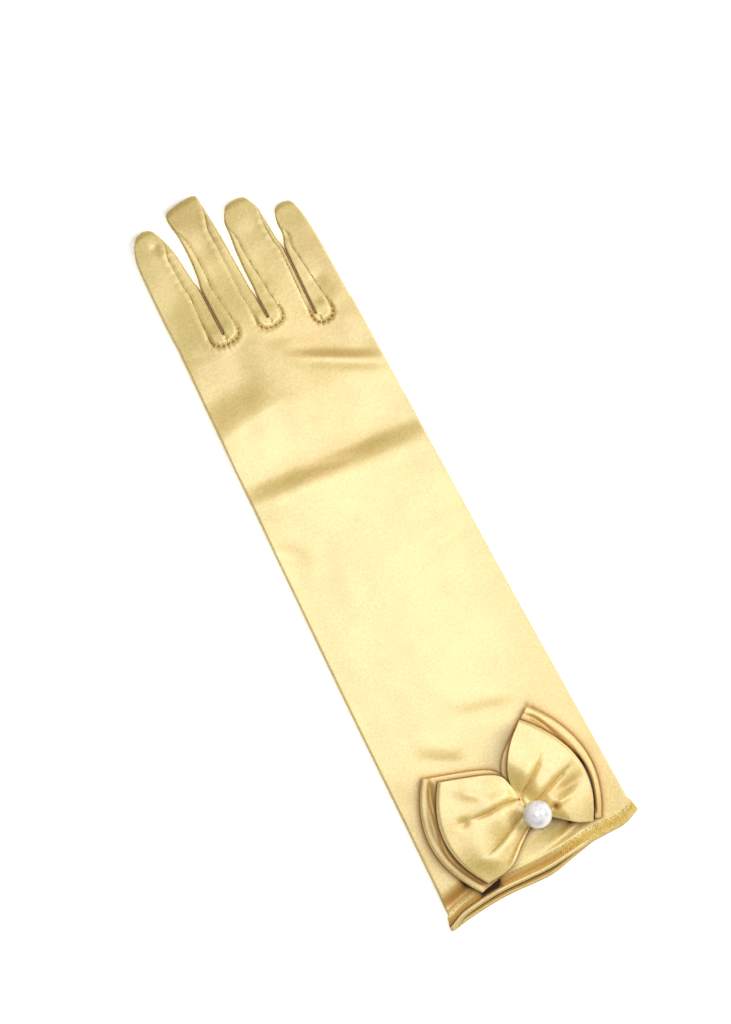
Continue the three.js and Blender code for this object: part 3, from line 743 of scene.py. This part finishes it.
def thumb_pouch():
    skin = Skin()
    for inset, steps, flip in ((0, 60, False), (CLOTH, 30, True)):
        upper, lower = thumb_sides(inset, steps)
        skin.grid(upper, flip)
        skin.grid(lower, not flip)
        for row, swap in ((0, True), (-1, False)):
            skin.grid(np.stack([upper[row], lower[row]]), flip != swap)
    return skin.piece("thumb", satin)


# Form of the bow
# The wings seen from above as shares of the bow's span from the pearl: each
# edge runs from its root at the pinch through its bends to its corner, and
# bulge is how far the outer end curves out. sink is how far a wing lies
# inside the bow's front and back, as a share of its cloth. The upper bow's
# high edges have bends of their own.
WINGS = {
    "left": {
        "out": -1, "sink": 0.1,
        "high": [(-0.045, 0.08), (-0.062, 0.2), (-0.092, 0.292), (-0.19, 0.356)],
        "low": [(-0.05, -0.03), (-0.145, -0.1), (-0.262, -0.19)],
    },
    "right": {
        "out": 1, "sink": 0.25,
        "high": [(-0.055, 0.08), (-0.078, 0.2), (-0.078, 0.27), (-0.008, 0.38)],
        "low": [(0.05, -0.04), (0.1, -0.08), (0.18, -0.138)],
    },
}
BOWS = {
    "bow_lower": {
        "level": SLEEVE_HEIGHT + SEAM_GAP, "height": LOWER_BOW_HEIGHT,
        "left": {"high": (-0.482, 0.451), "low": (-0.47, -0.25), "bulge": 0.128},
        "right": {"high": (0.22, 0.549), "low": (0.305, -0.177), "bulge": 0.128},
    },
    "bow_upper": {
        "level": SLEEVE_HEIGHT + LOWER_BOW_HEIGHT + 2 * SEAM_GAP, "height": UPPER_BOW_HEIGHT,
        "left": {
            "high": (-0.41, 0.398), "low": (-0.415, -0.214), "bulge": 0.11,
            "bends": [(-0.045, 0.08), (-0.062, 0.2), (-0.088, 0.27), (-0.16, 0.315), (-0.29, 0.36)],
        },
        "right": {
            "high": (0.148, 0.503), "low": (0.256, -0.171), "bulge": 0.134,
            "bends": [(-0.05, 0.08), (-0.057, 0.2), (-0.042, 0.275), (0.0, 0.352), (0.06, 0.425)],
        },
    },
}
# Creases of the upper bow: a line of places, its depth, how far its soft side
# reaches, and the height of the roll to its left. A negative roll stands to
# its right.
CREASES = {
    ("bow_upper", "left"): [
        ([(4, 33), (-4, 34.4), (-12, 34), (-18, 34.6), (-22, 35.5)], 1.7, 2.6, -0.5),
        ([(2, 26), (-7, 22), (-15, 19), (-23, 16.5)], 1.5, 3.6, 0.7),
        ([(2, 20), (-5, 15.5), (-12, 10), (-19, 4)], 0.8, 1.4, 0.2),
    ],
    ("bow_upper", "right"): [
        ([(4, 33), (8, 36), (14, 39.5), (20, 44), (24, 49)], 1.9, 2.6, 0.4),
        ([(10, 29), (17, 31.3), (25, 34), (34, 37.5)], 2.3, 4.6, 0.5),
    ],
}
# Soft hollows of the upper bow: middle, turn, half length, half width, depth.
HOLLOWS = table(
    "x y turn reach spread depth",
    (-23, 34.8, 0, 2.6, 2.2, 0.9),
    (-14, 44.5, -40, 7.0, 2.6, -0.6),
    (-19, 14, -25, 7.0, 3.0, -0.5),
    (26, 28.5, 10, 6.5, 2.6, 1.3),
    (17.3, 22.8, 0, 1.7, 1.4, 3.2),
    (22, 24, 10, 5.0, 1.4, -0.5))


def wing_plan(wing, shape, r, t):
    """Places of a wing seen from above: r from the pinch to the outer end,
    t from the low edge (-1) to the high edge (1)."""
    low = spline([*wing["low"], shape["low"]], r)
    high = spline([*shape.get("bends", wing["high"]), shape["high"]], r)
    plan = low[:, None] + (high - low)[:, None] * ((t + 1) / 2)[None, :, None]
    bulge = shape["bulge"] * np.outer(r ** 2, 1 - t ** 2)
    plan[..., 0] += wing["out"] * bulge
    return BOW_MIDDLE + plan * BOW_SPAN


def crease_relief(creases, x, y):
    """Creases with a crisp bottom, steep on one side and soft on the other,
    and a roll of cloth beside them."""
    rise = np.zeros(x.shape)
    for points, depth, reach, roll in creases:
        line = spline(points, np.linspace(0, 1, 24))
        length = gone_along(line)[-1]
        away, along, side = near_line(line, x, y)
        fade = smooth((length - along) / (0.45 * length))
        fade *= mix(0.4, 1, smooth(along / (0.2 * length)))
        soft = side * math.copysign(1, roll) < 0
        slope = 0.45 * np.exp(-away / 0.5) + 0.55 * np.exp(-away / np.where(soft, reach, 0.7))
        swell = bell(away - 3.0, 3.0) * ~soft
        rise += fade * (abs(roll) * swell - depth * slope)
    return rise


def wing_front(key, wing, bow, r, t, plan):
    """How high the front of a wing stands above its back."""
    height = bow["height"]
    r, t = np.broadcast_arrays(r[:, None], t[None, :])
    puff = mix(PINCH_HEIGHT, height, smooth((r - 0.14) / 0.4))
    full = puff * (1 - 0.12 * t * t) * (1 - 0.16 * smooth((r - 0.7) / 0.3))
    gather = 0.1 * np.sin(t * 13 + 2 * r) * smooth(r / 0.08) * (1 - smooth((r - 0.12) / 0.4))
    x, y = plan[..., 0], plan[..., 1]
    swell = 0.3 * waves(x, y, 7 if wing["out"] > 0 else 8, 21) * smooth((r - 0.25) / 0.3)
    if key[0] == "bow_upper":
        detail = crease_relief(CREASES[key], x, y) - patches(HOLLOWS, "depth", x, y, 2)
    else:
        rim = bell((1 - r) * BOW_SPAN * 0.47 - RIM_GROOVE_IN - 0.5 * np.sin(t * 5), 0.7)
        detail = -RIM_GROOVE * rim * smooth((0.97 - np.abs(t)) / 0.1)
    return full + gather + swell + detail


def wing_block(key):
    """One wing: a band of cloth that runs out from the pinch, turns over at
    its outer end and comes back underneath, open along both edges."""
    bow, wing = BOWS[key[0]], WINGS[key[1]]
    shape, height = bow[key[1]], bow["height"]
    even = np.linspace(-1, 1, 101)
    t = 0.7 * even + 0.3 * np.sin(even * math.pi / 2)
    fold = height * 0.24 / (BOW_SPAN / 2)
    front = np.linspace(0, 1 - fold, 108)
    turns = np.linspace(math.pi / 2, -math.pi / 2, 17)[1:-1]
    back = np.linspace(1 - fold, 0, 24)
    sunk = wing["sink"] * BOW_CLOTH
    thick = mix(BOW_CLOTH, 0.6, smooth((np.abs(t) - 0.88) / 0.12))
    skins = []
    for inset in (0, 1):
        wall = inset * thick
        plan = wing_plan(wing, shape, front, t)
        full = wing_front(key, wing, bow, front, t, plan)
        full = np.maximum(full - 2 * sunk, 2 * BOW_CLOTH + SEAM_GAP)
        rows = [np.concatenate([plan, (full - wall)[..., None]], -1)]
        end = full[-1]
        over = []
        for turn in turns:
            out = 1 - fold + math.cos(turn) ** 0.7 * (fold - inset * BOW_CLOTH / (BOW_SPAN / 2))
            place = wing_plan(wing, shape, np.array([out]), t)[0]
            rise = end / 2 + math.sin(turn) * (end / 2 - wall)
            over.append(np.concatenate([place, rise[:, None]], -1))
        rows.append(np.array(over))
        plan = wing_plan(wing, shape, back, t)
        rows.append(np.concatenate([plan, np.broadcast_to(wall, plan.shape[:2])[..., None]], -1))
        rows = np.concatenate(rows)
        rows[..., 2] += bow["level"] + sunk
        skins.append(rows)
    outer, inner = skins
    flip = wing["out"] < 0
    skin = Skin()
    skin.grid(outer, not flip)
    skin.grid(inner, flip)
    turns = np.linspace(0, math.pi, 7)

    def between(out, into, turn):
        return (out + into) / 2 + (out - into) / 2 * math.cos(turn)

    for row, swap in ((0, False), (-1, True)):
        skin.grid([between(outer[row], inner[row], turn) for turn in turns], flip != swap)
    ends = np.arange(len(outer))
    bulge = 0.3 * smooth(np.minimum(ends, ends[::-1]) / 3)
    for column, beside, swap in ((0, 1, True), (-1, -2, False)):
        edge = outer[:, column]
        out = edge - outer[:, beside]
        out[:, 2] = 0
        out *= (bulge / np.linalg.norm(out, axis=1))[:, None]
        rim = [between(edge, inner[:, column], turn) + out * math.sin(turn) for turn in turns]
        skin.grid(rim, flip != swap)
    return skin.piece("wing", satin)


def pinch_block(level, height):
    """The gathered middle that joins the two wings of one bow."""
    skin = Skin()
    turns = round_turns(96)
    gathers = 1 + 0.035 * np.cos(turns * 14)
    rows = []
    for share in np.linspace(0, 1, 14):
        side = 1 - 0.12 * share - 0.25 * smooth((share - 0.8) / 0.2)
        x = BOW_MIDDLE[0] + 5.5 * side * gathers * np.cos(turns)
        y = BOW_MIDDLE[1] + 7.5 * side * gathers * np.sin(turns)
        rows.append(np.stack([x, y, level + height * share + 0 * x], -1))
    low, high = rows[0].copy(), rows[-1].copy()
    low[:, :2], high[:, :2] = BOW_MIDDLE, BOW_MIDDLE
    skin.grid([low, *rows, high], closed=True)
    return skin.piece("pinch", satin)


def bow(name, pinch_height):
    made = pinch_block(BOWS[name]["level"], pinch_height)
    for side in WINGS:
        cut(made, wing_block((name, side)), "UNION")
    made.name = name
    made.data.polygons.foreach_set("use_smooth", [True] * len(made.data.polygons))
    return made


def pearl_ball():
    skin = Skin()
    radius = PEARL_DIAMETER / 2
    middle = np.array([*BOW_MIDDLE, pearl_middle.z])
    turns = round_turns(96)
    rows = []
    for tilt in np.linspace(-math.pi / 2, math.pi / 2, 49):
        ring = np.stack([
            math.cos(tilt) * np.cos(turns),
            math.cos(tilt) * np.sin(turns),
            np.full(turns.shape, math.sin(tilt)),
        ], -1)
        bumps = 1 + 0.004 * np.sin(ring @ np.array([5.0, 3.0, 4.0])) * math.cos(tilt)
        rows.append(middle + ring * radius * bumps[:, None])
    skin.grid(rows, closed=True)
    return skin.piece("pearl_ball", pearl_coat)


# Shade painted into the cloth's colour in folds, from 0 in the open to 1 in the deepest fold
RIM_LEVEL = 7.2  # millimetres up, under which the sides are in the shade
SIDE_PAINTED_SHADE = 0.3
HEM_PAINTED_SHADE = (0.7, 0.1)  # on its fold and at its flat corner
SEAM_PAINTED_SHADE = (0.1, 0.6)  # along a seam and round its end
# Painted highlights on a seam's roll and on the raised ends of the tabs
SEAM_PAINTED_HIGHLIGHT = 0.35
TAB_PAINTED_HIGHLIGHT = 0.85
UNDER_BOW_PAINTED_SHADOW = (0.55, 0.27)  # close to a wing's outline and further from it
CREASE_PAINTED_SHADE = (0.55, 0.15)  # in a crease and on its soft side
RIM_PAINTED_SHADE = 0.5
HOLLOW_PAINTED_SHADE = 0.3
BOW_SIDE_PAINTED_SHADE = 0.65
BETWEEN_BOWS_PAINTED_SHADE = 1.15


def wing_outline(key, part=(0, 1, 2)):
    """A wing's low edge, outer end and high edge seen from above."""
    bow, wing = BOWS[key[0]], WINGS[key[1]]
    share, across = np.linspace(0, 1, 24), np.linspace(-1, 1, 24)
    plan = wing_plan(wing, bow[key[1]], share, across)
    edges = [plan[:, 0], plan[-1], plan[::-1, -1]]
    return np.concatenate([edges[k] for k in part])


def outline_shade(name, x, y):
    """Shadow painted beside the wings of a bow, on what lies under them."""
    shade = np.zeros(x.shape)
    for side in WINGS:
        away = near_line(wing_outline((name, side)), x, y)[0]
        shade = np.maximum(shade, UNDER_BOW_PAINTED_SHADOW[0] * bell(away, 1.1) + UNDER_BOW_PAINTED_SHADOW[1] * bell(away, 2.8))
    return shade


def glove_shade(x, y, z):
    """How deep the shade painted on a place of the glove is; below 0 it is painted light."""
    shade = patches(SHADES, "shade", x, y)
    for px, py, degrees, reach, run, _, _, depth in zip(*STEPS.values()):
        u, v = turned(x - px, y - py, degrees)
        across = smooth(v / 2) * (1 - smooth((v - 0.3 * run) / run))
        shade += depth * np.exp(-((u / reach) ** 4)) * across
    depth, slope, flat = hem_slope(x, y)
    shade += mix(*HEM_PAINTED_SHADE, flat) * slope
    past_rim = y - hem_y(x, "lower") - 1.0
    shade += smooth(past_rim) * (depth < 1.5) * (z < RIM_LEVEL)
    shade += outline_shade("bow_lower", x, y)
    along = np.linspace(0, 1, 60)
    for number, line in enumerate(SEAMS):
        away, _, side = near_line(line, x, y)
        end = smooth((line[:, 1].min() + 9 - y) / 4)
        shade += mix(*SEAM_PAINTED_SHADE, end) * bell(away, 0.6)
        shade -= SEAM_PAINTED_HIGHLIGHT * (1 - end) * bell(away - 1.1, 0.5)
        shade -= TAB_PAINTED_HIGHLIGHT * end * (side > 0) * smooth((away - 0.5) / 1.2)
        middle, half = finger_line(number, along)
        slit = np.stack([middle + half, finger_y(number, along, 1.0)], -1)
        slit = slit[slit[:, 1] < slit[0, 1] + SLIT_HELD[number] + 2]
        shade = np.maximum(shade, bell(near_line(slit, x, y)[0], 0.75))
    # Painted shade, a little deeper towards the cuff and towards the fingertips, where the light
    # falls off
    shade += 0.04 * smooth((90 - y) / 60)
    shade += 0.06 * smooth((y - 300) / 24)
    walls = SIDE_PAINTED_SHADE * smooth((RIM_LEVEL - z) / 1.2) * smooth((z - 2) / 2)
    return np.clip(np.where(walls > 0.01, np.maximum(shade, walls), shade), -1, 1)


def bow_shade(name, x, y, z):
    """How deep the shade painted on a place of a bow is, in creases, hollows and grooves, under the
    upper bow and on low sides.
    """
    shade = np.zeros(x.shape)
    for side in WINGS:
        for points, _, reach, roll in CREASES.get((name, side), []):
            line = spline(points, np.linspace(0, 1, 24))
            length = gone_along(line)[-1]
            away, along, which = near_line(line, x, y)
            soft = which * math.copysign(1, roll) < 0
            fade = smooth((length - along) / (0.5 * length))
            crisp = CREASE_PAINTED_SHADE[0] * bell(away, 0.4)
            shade += fade * (crisp + CREASE_PAINTED_SHADE[1] * bell(away, 0.7 * reach) * soft)
        if name == "bow_lower":
            away = near_line(wing_outline((name, side), (1,)), x, y)[0]
            shade += RIM_PAINTED_SHADE * bell(away - RIM_GROOVE_IN, 0.7)
    if name == "bow_lower":
        shade += BETWEEN_BOWS_PAINTED_SHADE * outline_shade("bow_upper", x, y)
    else:
        shade += np.maximum(HOLLOW_PAINTED_SHADE * patches(HOLLOWS, "depth", x, y, 2), 0)
    walls = BOW_SIDE_PAINTED_SHADE * smooth(BOWS[name]["level"] + 0.7 * PINCH_HEIGHT - z)
    return np.clip(np.maximum(shade, walls), 0, 1)


def write_painted_shade(piece, shade):
    """Writes the shade of each place of a piece for its material to paint into its colour."""
    mesh = piece.data
    places = np.empty(len(mesh.vertices) * 3)
    mesh.vertices.foreach_get("co", places)
    x, y, z = (places.reshape(-1, 3) / MM - ORIGIN).T
    made = mesh.attributes.new("shade", "FLOAT", "POINT")
    made.data.foreach_set("value", shade(x, y, z).astype(np.float32))


# Threads
HEM_STITCHED = (-47.5, 46, 2.1)  # from, to and pitch across the hem
OVERLOCKED = (11, 50.3, 0.95)
OVERLOCK_END = 50.9


class Threads:
    """Many short threads gathered into one piece."""

    def __init__(self):
        self.points, self.faces = [], []

    def add(self, path, radius, sides_round=6):
        path = np.asarray(path, float)
        way = np.gradient(path, axis=0)
        way /= np.linalg.norm(way, axis=1)[:, None]
        aside = np.cross(way, (0.0, 0.0, 1.0))
        aside /= np.maximum(np.linalg.norm(aside, axis=1), 1e-9)[:, None]
        above = np.cross(aside, way)
        start = len(self.points)
        last = len(path) - 1
        turns = round_turns(sides_round)
        for k, place in enumerate(path):
            thick = radius * (0.45 if k in (0, last) else 1)
            for turn in turns:
                out = aside[k] * math.cos(turn) + above[k] * math.sin(turn)
                self.points.append(place + thick * out)
        for k in range(last):
            for i in range(sides_round):
                a = start + k * sides_round + i
                b = start + k * sides_round + (i + 1) % sides_round
                self.faces.append([a, b, b + sides_round, a + sides_round])
        self.faces.append([start + i for i in range(sides_round)][::-1])
        self.faces.append([start + last * sides_round + i for i in range(sides_round)])

    def piece(self, name, material):
        return add_piece(name, self.points, self.faces, material)


def surface_of(pieces):
    """Finds the height of the pieces' upper side at a place of the plan."""
    points, faces = [], []
    for piece in pieces:
        start = len(points)
        points += [Vector(v.co) / MM for v in piece.data.vertices]
        faces += [[start + i for i in p.vertices] for p in piece.data.polygons]
    tree = BVHTree.FromPolygons(points, faces)

    def height(x, y):
        hit = tree.ray_cast(Vector((x + ORIGIN[0], y + ORIGIN[1], 60)), Vector((0, 0, -1)))
        return hit[0].z if hit[0] else None

    return height


def laid(height, plan, above):
    """A path laid on the cloth, bowed up in its middle."""
    rise = np.sin(np.linspace(0, math.pi, len(plan))) * above
    heights = [height(*p) for p in plan]
    if any(h is None for h in heights):
        return None
    return [(p[0], p[1], h + r) for p, h, r in zip(plan, heights, rise)]


def seam_stitches(height):
    """Small pale stitches on the fourchettes' seams."""
    rng = np.random.default_rng(11)
    threads = Threads()
    for line in SEAMS:
        gone = gone_along(line)
        end = line[:, 1].min() + 6.5
        place = 1.2
        while place < gone[-1] - 1:
            at = np.array([np.interp(place, gone, line[:, k]) for k in (0, 1)])
            then = np.array([np.interp(place + 0.4, gone, line[:, k]) for k in (0, 1)])
            way = (then - at) / np.linalg.norm(then - at)
            aside = np.array([-way[1], way[0]])
            if at[1] < end:
                reach, width, pitch = 0.75, 0.26, SCALLOP_PITCH
                direction = aside
            else:
                reach, width, pitch = rng.uniform(0.5, 0.8), 0.16, rng.uniform(1.9, 2.5)
                direction = way * 0.85 + aside * 0.5
            path = laid(height, [at + direction * s * reach for s in np.linspace(-1, 1, 5)], 0.22)
            if path:
                threads.add(path, width)
            place += pitch
    return threads.piece("seam_stitches", pale_thread)


def hem_place(x, depth):
    """A place of the hem band, at a depth from the hem line."""
    return float(hem_y(x, "upper") + depth)


def hem_stitches(height):
    """The running stitch along the hem."""
    threads = Threads()
    rng = np.random.default_rng(12)
    x, last, pitch = HEM_STITCHED
    while x < last:
        depth = 5.0 + rng.uniform(-0.12, 0.12)
        reach = rng.uniform(1.3, 1.6)
        plan = [(x + reach * s, hem_place(x + reach * s, depth)) for s in np.linspace(0, 1, 5)]
        path = laid(height, plan, 0.16)
        if path:
            threads.add(path, 0.17)
        x += pitch
    return threads.piece("hem_stitches", dark_thread)


def hem_overlock(height):
    """The loose zigzag of yellow thread that shows where the hem turns up."""
    threads = Threads()
    rng = np.random.default_rng(13)
    for x in np.arange(*OVERLOCKED):
        wide = smooth((x - 12) / 16)
        for lean in (1, -1):
            low = mix(1.6, -0.4, wide) + rng.uniform(-0.4, 0.5)
            high = mix(3.6, 4.9, wide) + rng.uniform(-0.8, 0.6)
            plan = []
            for s in np.linspace(0, 1, 8):
                px = x + lean * 1.1 * (s - 0.5) + rng.uniform(-0.1, 0.1)
                plan.append((min(px, OVERLOCK_END), hem_place(px, mix(low, high, s))))
            path = laid(height, plan, rng.uniform(0.3, 0.8))
            if path:
                threads.add(path, rng.uniform(0.16, 0.24), 5)
    return threads.piece("hem_overlock", yellow_thread)


# Materials
class Material:
    """A material and the ways in which its nodes are joined."""

    def __init__(self, name):
        self.made = bpy.data.materials.new(name)
        self.made.use_nodes = True
        self.tree = self.made.node_tree
        self.shader = self.tree.nodes["Principled BSDF"]

    def join(self, source, target):
        """Feeds an input from another node, or from a plain value."""
        if isinstance(source, bpy.types.NodeSocket):
            self.tree.links.new(source, target)
        elif isinstance(source, tuple):
            target.default_value = (*source, 1)
        else:
            target.default_value = source

    def add(self, kind, **values):
        node = self.tree.nodes.new(kind)
        for key, value in values.items():
            if key in node.inputs:
                self.join(value, node.inputs[key])
            else:
                setattr(node, key, value)
        return node

    def look(self, **values):
        """Sets the shader's inputs, named with underscores for blanks."""
        for key, value in values.items():
            self.join(value, self.shader.inputs[key.replace("_", " ")])

    def noise(self, scale, detail, roughness=0.5):
        place = self.add("ShaderNodeTexCoord").outputs["Object"]
        values = {"Vector": place, "Scale": scale, "Detail": detail, "Roughness": roughness}
        return self.add("ShaderNodeTexNoise", **values).outputs["Fac"]

    def ramp(self, source, *stops):
        node = self.add("ShaderNodeValToRGB", Fac=source)
        for stop, (position, colour) in zip(node.color_ramp.elements, stops):
            stop.position = position
            stop.color = (*colour, 1)
        return node.outputs["Color"]

    def blend(self, share, first, second):
        node = self.add("ShaderNodeMix", data_type="RGBA")
        self.join(share, node.inputs[0])
        colours = [socket for socket in node.inputs if socket.type == "RGBA"]
        self.join(first, colours[0])
        self.join(second, colours[1])
        return next(socket for socket in node.outputs if socket.type == "RGBA")

    def scaled(self, source, factor, more, clamp=False):
        node = self.add("ShaderNodeMath", operation="MULTIPLY_ADD", use_clamp=clamp)
        for value, socket in zip((source, factor, more), node.inputs):
            self.join(value, socket)
        return node.outputs[0]


# Colours of painted shade, of deep painted shade and of painted light, which the shade attribute
# mixes into the cloth
PAINTED_SHADE_BROWN = (0.42, 0.155, 0.015)
PAINTED_DEEP_SHADE = (0.03, 0.012, 0.006)
PAINTED_LIGHT_PALE = (0.97, 0.83, 0.42)
WEAVE_SHARE = 0.55


def satin_cloth(name, dark, pale, roughness, coat):
    """Satin: a fine weave of bright floats over a soft, uneven gold, with shade painted towards
    brown and black, light painted towards pale, and less coat where shade is painted, all read from
    the shade attribute.
    """
    cloth = Material(name)
    weave = cloth.noise(900.0, 3.0, 0.6)
    cloud = cloth.noise(45.0, 4.0, 0.55)
    uneven = cloth.scaled(weave, WEAVE_SHARE, cloth.scaled(cloud, 1 - WEAVE_SHARE, 0.0))
    gold = cloth.ramp(uneven, (0.4, dark), (0.6, pale))
    shade = cloth.add("ShaderNodeAttribute", attribute_name="shade").outputs["Fac"]
    painted_shade_colour = cloth.ramp(shade, (0.7, PAINTED_SHADE_BROWN), (0.98, PAINTED_DEEP_SHADE))
    gold_with_painted_shade = cloth.blend(shade, gold, painted_shade_colour)
    bump = cloth.add("ShaderNodeBump", Strength=0.25, Distance=0.0003, Height=weave)
    limits = {"To Min": roughness - 0.05, "To Max": roughness + 0.06}
    rough = cloth.add("ShaderNodeMapRange", Value=cloud, **limits)
    cloth.look(
        Base_Color=cloth.blend(cloth.scaled(shade, -1.0, 0.0), gold_with_painted_shade, PAINTED_LIGHT_PALE),
        Coat_Weight=cloth.scaled(shade, -1.5, 1.0, clamp=True),
        Normal=bump.outputs["Normal"], Roughness=rough.outputs["Result"],
        Metallic=0.12, Coat_Roughness=coat, Coat_IOR=1.8,
        Sheen_Weight=0.1, Sheen_Roughness=0.4, Sheen_Tint=(1.0, 0.93, 0.72))
    return cloth.made


def thread_material(name, dark, pale):
    thread = Material(name)
    twist = thread.noise(1500.0, 2.0)
    colour = thread.ramp(twist, (0.0, dark), (1.0, pale))
    thread.look(Base_Color=colour, Roughness=0.6, Sheen_Weight=0.3)
    return thread.made


def pearl_material():
    pearl = Material("pearl_coat")
    # The grey-lilac mottle is the pearl's own uneven lustre and painted reflection of what the
    # pearl mirrors
    cloud = pearl.noise(260.0, 2.0)
    white = pearl.ramp(cloud, (0.38, (0.75, 0.73, 0.78)), (0.56, (0.95, 0.92, 0.91)))
    pearl.look(
        Base_Color=white, Roughness=0.22, Coat_Weight=1.0, Coat_Roughness=0.06,
        Specular_IOR_Level=0.7)
    return pearl.made


def floor_material():
    paper = Material("paper")
    cloud = paper.add("ShaderNodeTexNoise", Scale=6.0, Detail=2.0).outputs["Fac"]
    white = paper.ramp(cloud, (0.0, (0.9, 0.9, 0.9)), (1.0, (0.93, 0.93, 0.93)))
    paper.look(
        Base_Color=white, Roughness=0.9, Specular_IOR_Level=0.1,
        Emission_Color=(1.0, 1.0, 1.0), Emission_Strength=0.56)
    return paper.made


satin = satin_cloth("satin", (0.71, 0.535, 0.16), (0.88, 0.68, 0.24), 0.50, 0.44)
# The bow's satin is a darker copy of the satin: painted shade for the bow, which stands higher
# towards the lights
bow_satin = satin_cloth("bow_satin", (0.71, 0.51, 0.145), (0.86, 0.65, 0.215), 0.48, 0.43)
pale_thread = thread_material("pale_thread", (0.70, 0.52, 0.22), (0.95, 0.80, 0.45))
dark_thread = thread_material("dark_thread", (0.50, 0.28, 0.06), (0.70, 0.42, 0.12))
yellow_thread = thread_material("yellow_thread", (0.84, 0.54, 0.07), (0.98, 0.78, 0.22))
pearl_coat = pearl_material()


# Camera and light
PHOTO_TURN = math.radians(27)  # the glove's length from the photo's upright
VIEW_HEIGHT = 460.8  # millimetres that the photo's long side covers
CAMERA_DISTANCE = 3000.0
SENSOR = 36.0
FLOOR_REACH = 3.0  # metres
FLOOR_DROP = 0.0004
VIEW_MIDDLE = np.array([1.2, 179.2])
VIEW_RIGHT = np.array([math.cos(PHOTO_TURN), -math.sin(PHOTO_TURN)])
VIEW_UP = np.array([math.sin(PHOTO_TURN), math.cos(PHOTO_TURN)])


def frame_point(right, up, height):
    """A place in the frame, from the photo's middle in its own directions."""
    plan = VIEW_MIDDLE + VIEW_RIGHT * right + VIEW_UP * up
    return Vector((*((np.array([*plan, height]) + ORIGIN) * MM),))


def add_camera():
    data = bpy.data.cameras.new("camera")
    data.sensor_width = SENSOR
    data.lens = SENSOR * CAMERA_DISTANCE / VIEW_HEIGHT
    camera = add_object("camera", data)
    camera.location = frame_point(0, 0, SLEEVE_HEIGHT + CAMERA_DISTANCE)
    camera.rotation_euler = (0, 0, -PHOTO_TURN)
    bpy.context.scene.camera = camera


def add_area_light(name, right, up, height, size, power, colour):
    data = bpy.data.lights.new(name, "AREA")
    data.shape = "DISK"
    data.size = size
    data.energy = power
    data.color = colour
    lamp = add_object(name, data)
    lamp.location = frame_point(right, up, height)
    aim = frame_point(0, 0, 0) - lamp.location
    lamp.rotation_euler = aim.to_track_quat("-Z", "Y").to_euler()


def add_floor():
    mesh = bpy.data.meshes.new("floor")
    reach = FLOOR_REACH
    mesh.from_pydata(
        [(-reach, -reach, 0), (reach, -reach, 0), (reach, reach, 0), (-reach, reach, 0)],
        [], [(0, 1, 2, 3)])
    floor = add_object("floor", mesh)
    floor.location.z = -FLOOR_DROP
    mesh.materials.append(floor_material())


def set_world():
    world = bpy.data.worlds.new("studio")
    world.use_nodes = True
    world.node_tree.nodes["Background"].inputs["Color"].default_value = (1, 1, 1, 1)
    world.node_tree.nodes["Background"].inputs["Strength"].default_value = 0.04
    bpy.context.scene.world = world
    bpy.context.scene.view_settings.view_transform = "Standard"


add_camera()
add_floor()
set_world()
add_area_light("key", 1400, 500, 1600, 1.3, 30, (1, 1, 0.98))
add_area_light("overhead", 20, -50, 520, 0.3, 1.6, (1, 1, 1))


# Pieces
def settle(piece, slot, *nodes):
    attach(piece, "root")
    if nodes:
        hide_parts(*nodes)


shell = glove_shell()
for number, strip in enumerate(FOURCHETTES):
    between = add_object(strip["name"] + "_cloth", shell.data.copy())
    cut(between, fourchette_block(number, 0), "INTERSECT")
    write_painted_shade(between, glove_shade)
    settle(between, "satin", strip["name"])
    strip["piece"] = between
for number in range(len(FOURCHETTES)):
    cut(shell, fourchette_block(number, STITCHED_GAP), "DIFFERENCE")
cut(shell, thumb_hole(-1, THUMB_HEIGHT + SEAM_GAP + 2 * CLOTH), "DIFFERENCE")
shell.name = "trank_cloth"
write_painted_shade(shell, glove_shade)
settle(shell, "satin", "trank")

pouch = thumb_pouch()
cut(pouch, thumb_hole(THUMB_HEIGHT / 2, THUMB_HEIGHT + CLOTH), "DIFFERENCE")
pouch.name = "thumb_cloth"
settle(pouch, "satin", "thumb")

for name, pinch_height in (("bow_lower", LOWER_BOW_HEIGHT), ("bow_upper", PINCH_HEIGHT)):
    made = bow(name, pinch_height)
    made.name = name + "_cloth"
    made.data.materials.clear()
    made.data.materials.append(bow_satin)
    write_painted_shade(made, lambda x, y, z: bow_shade(name, x, y, z))
    settle(made, "bow_satin", name)

ball = pearl_ball()
settle(ball, "pearl", "pearl")

height = surface_of([shell, *[strip["piece"] for strip in FOURCHETTES]])
for sew in (seam_stitches, hem_stitches, hem_overlock):
    settle(sew(height), "satin")
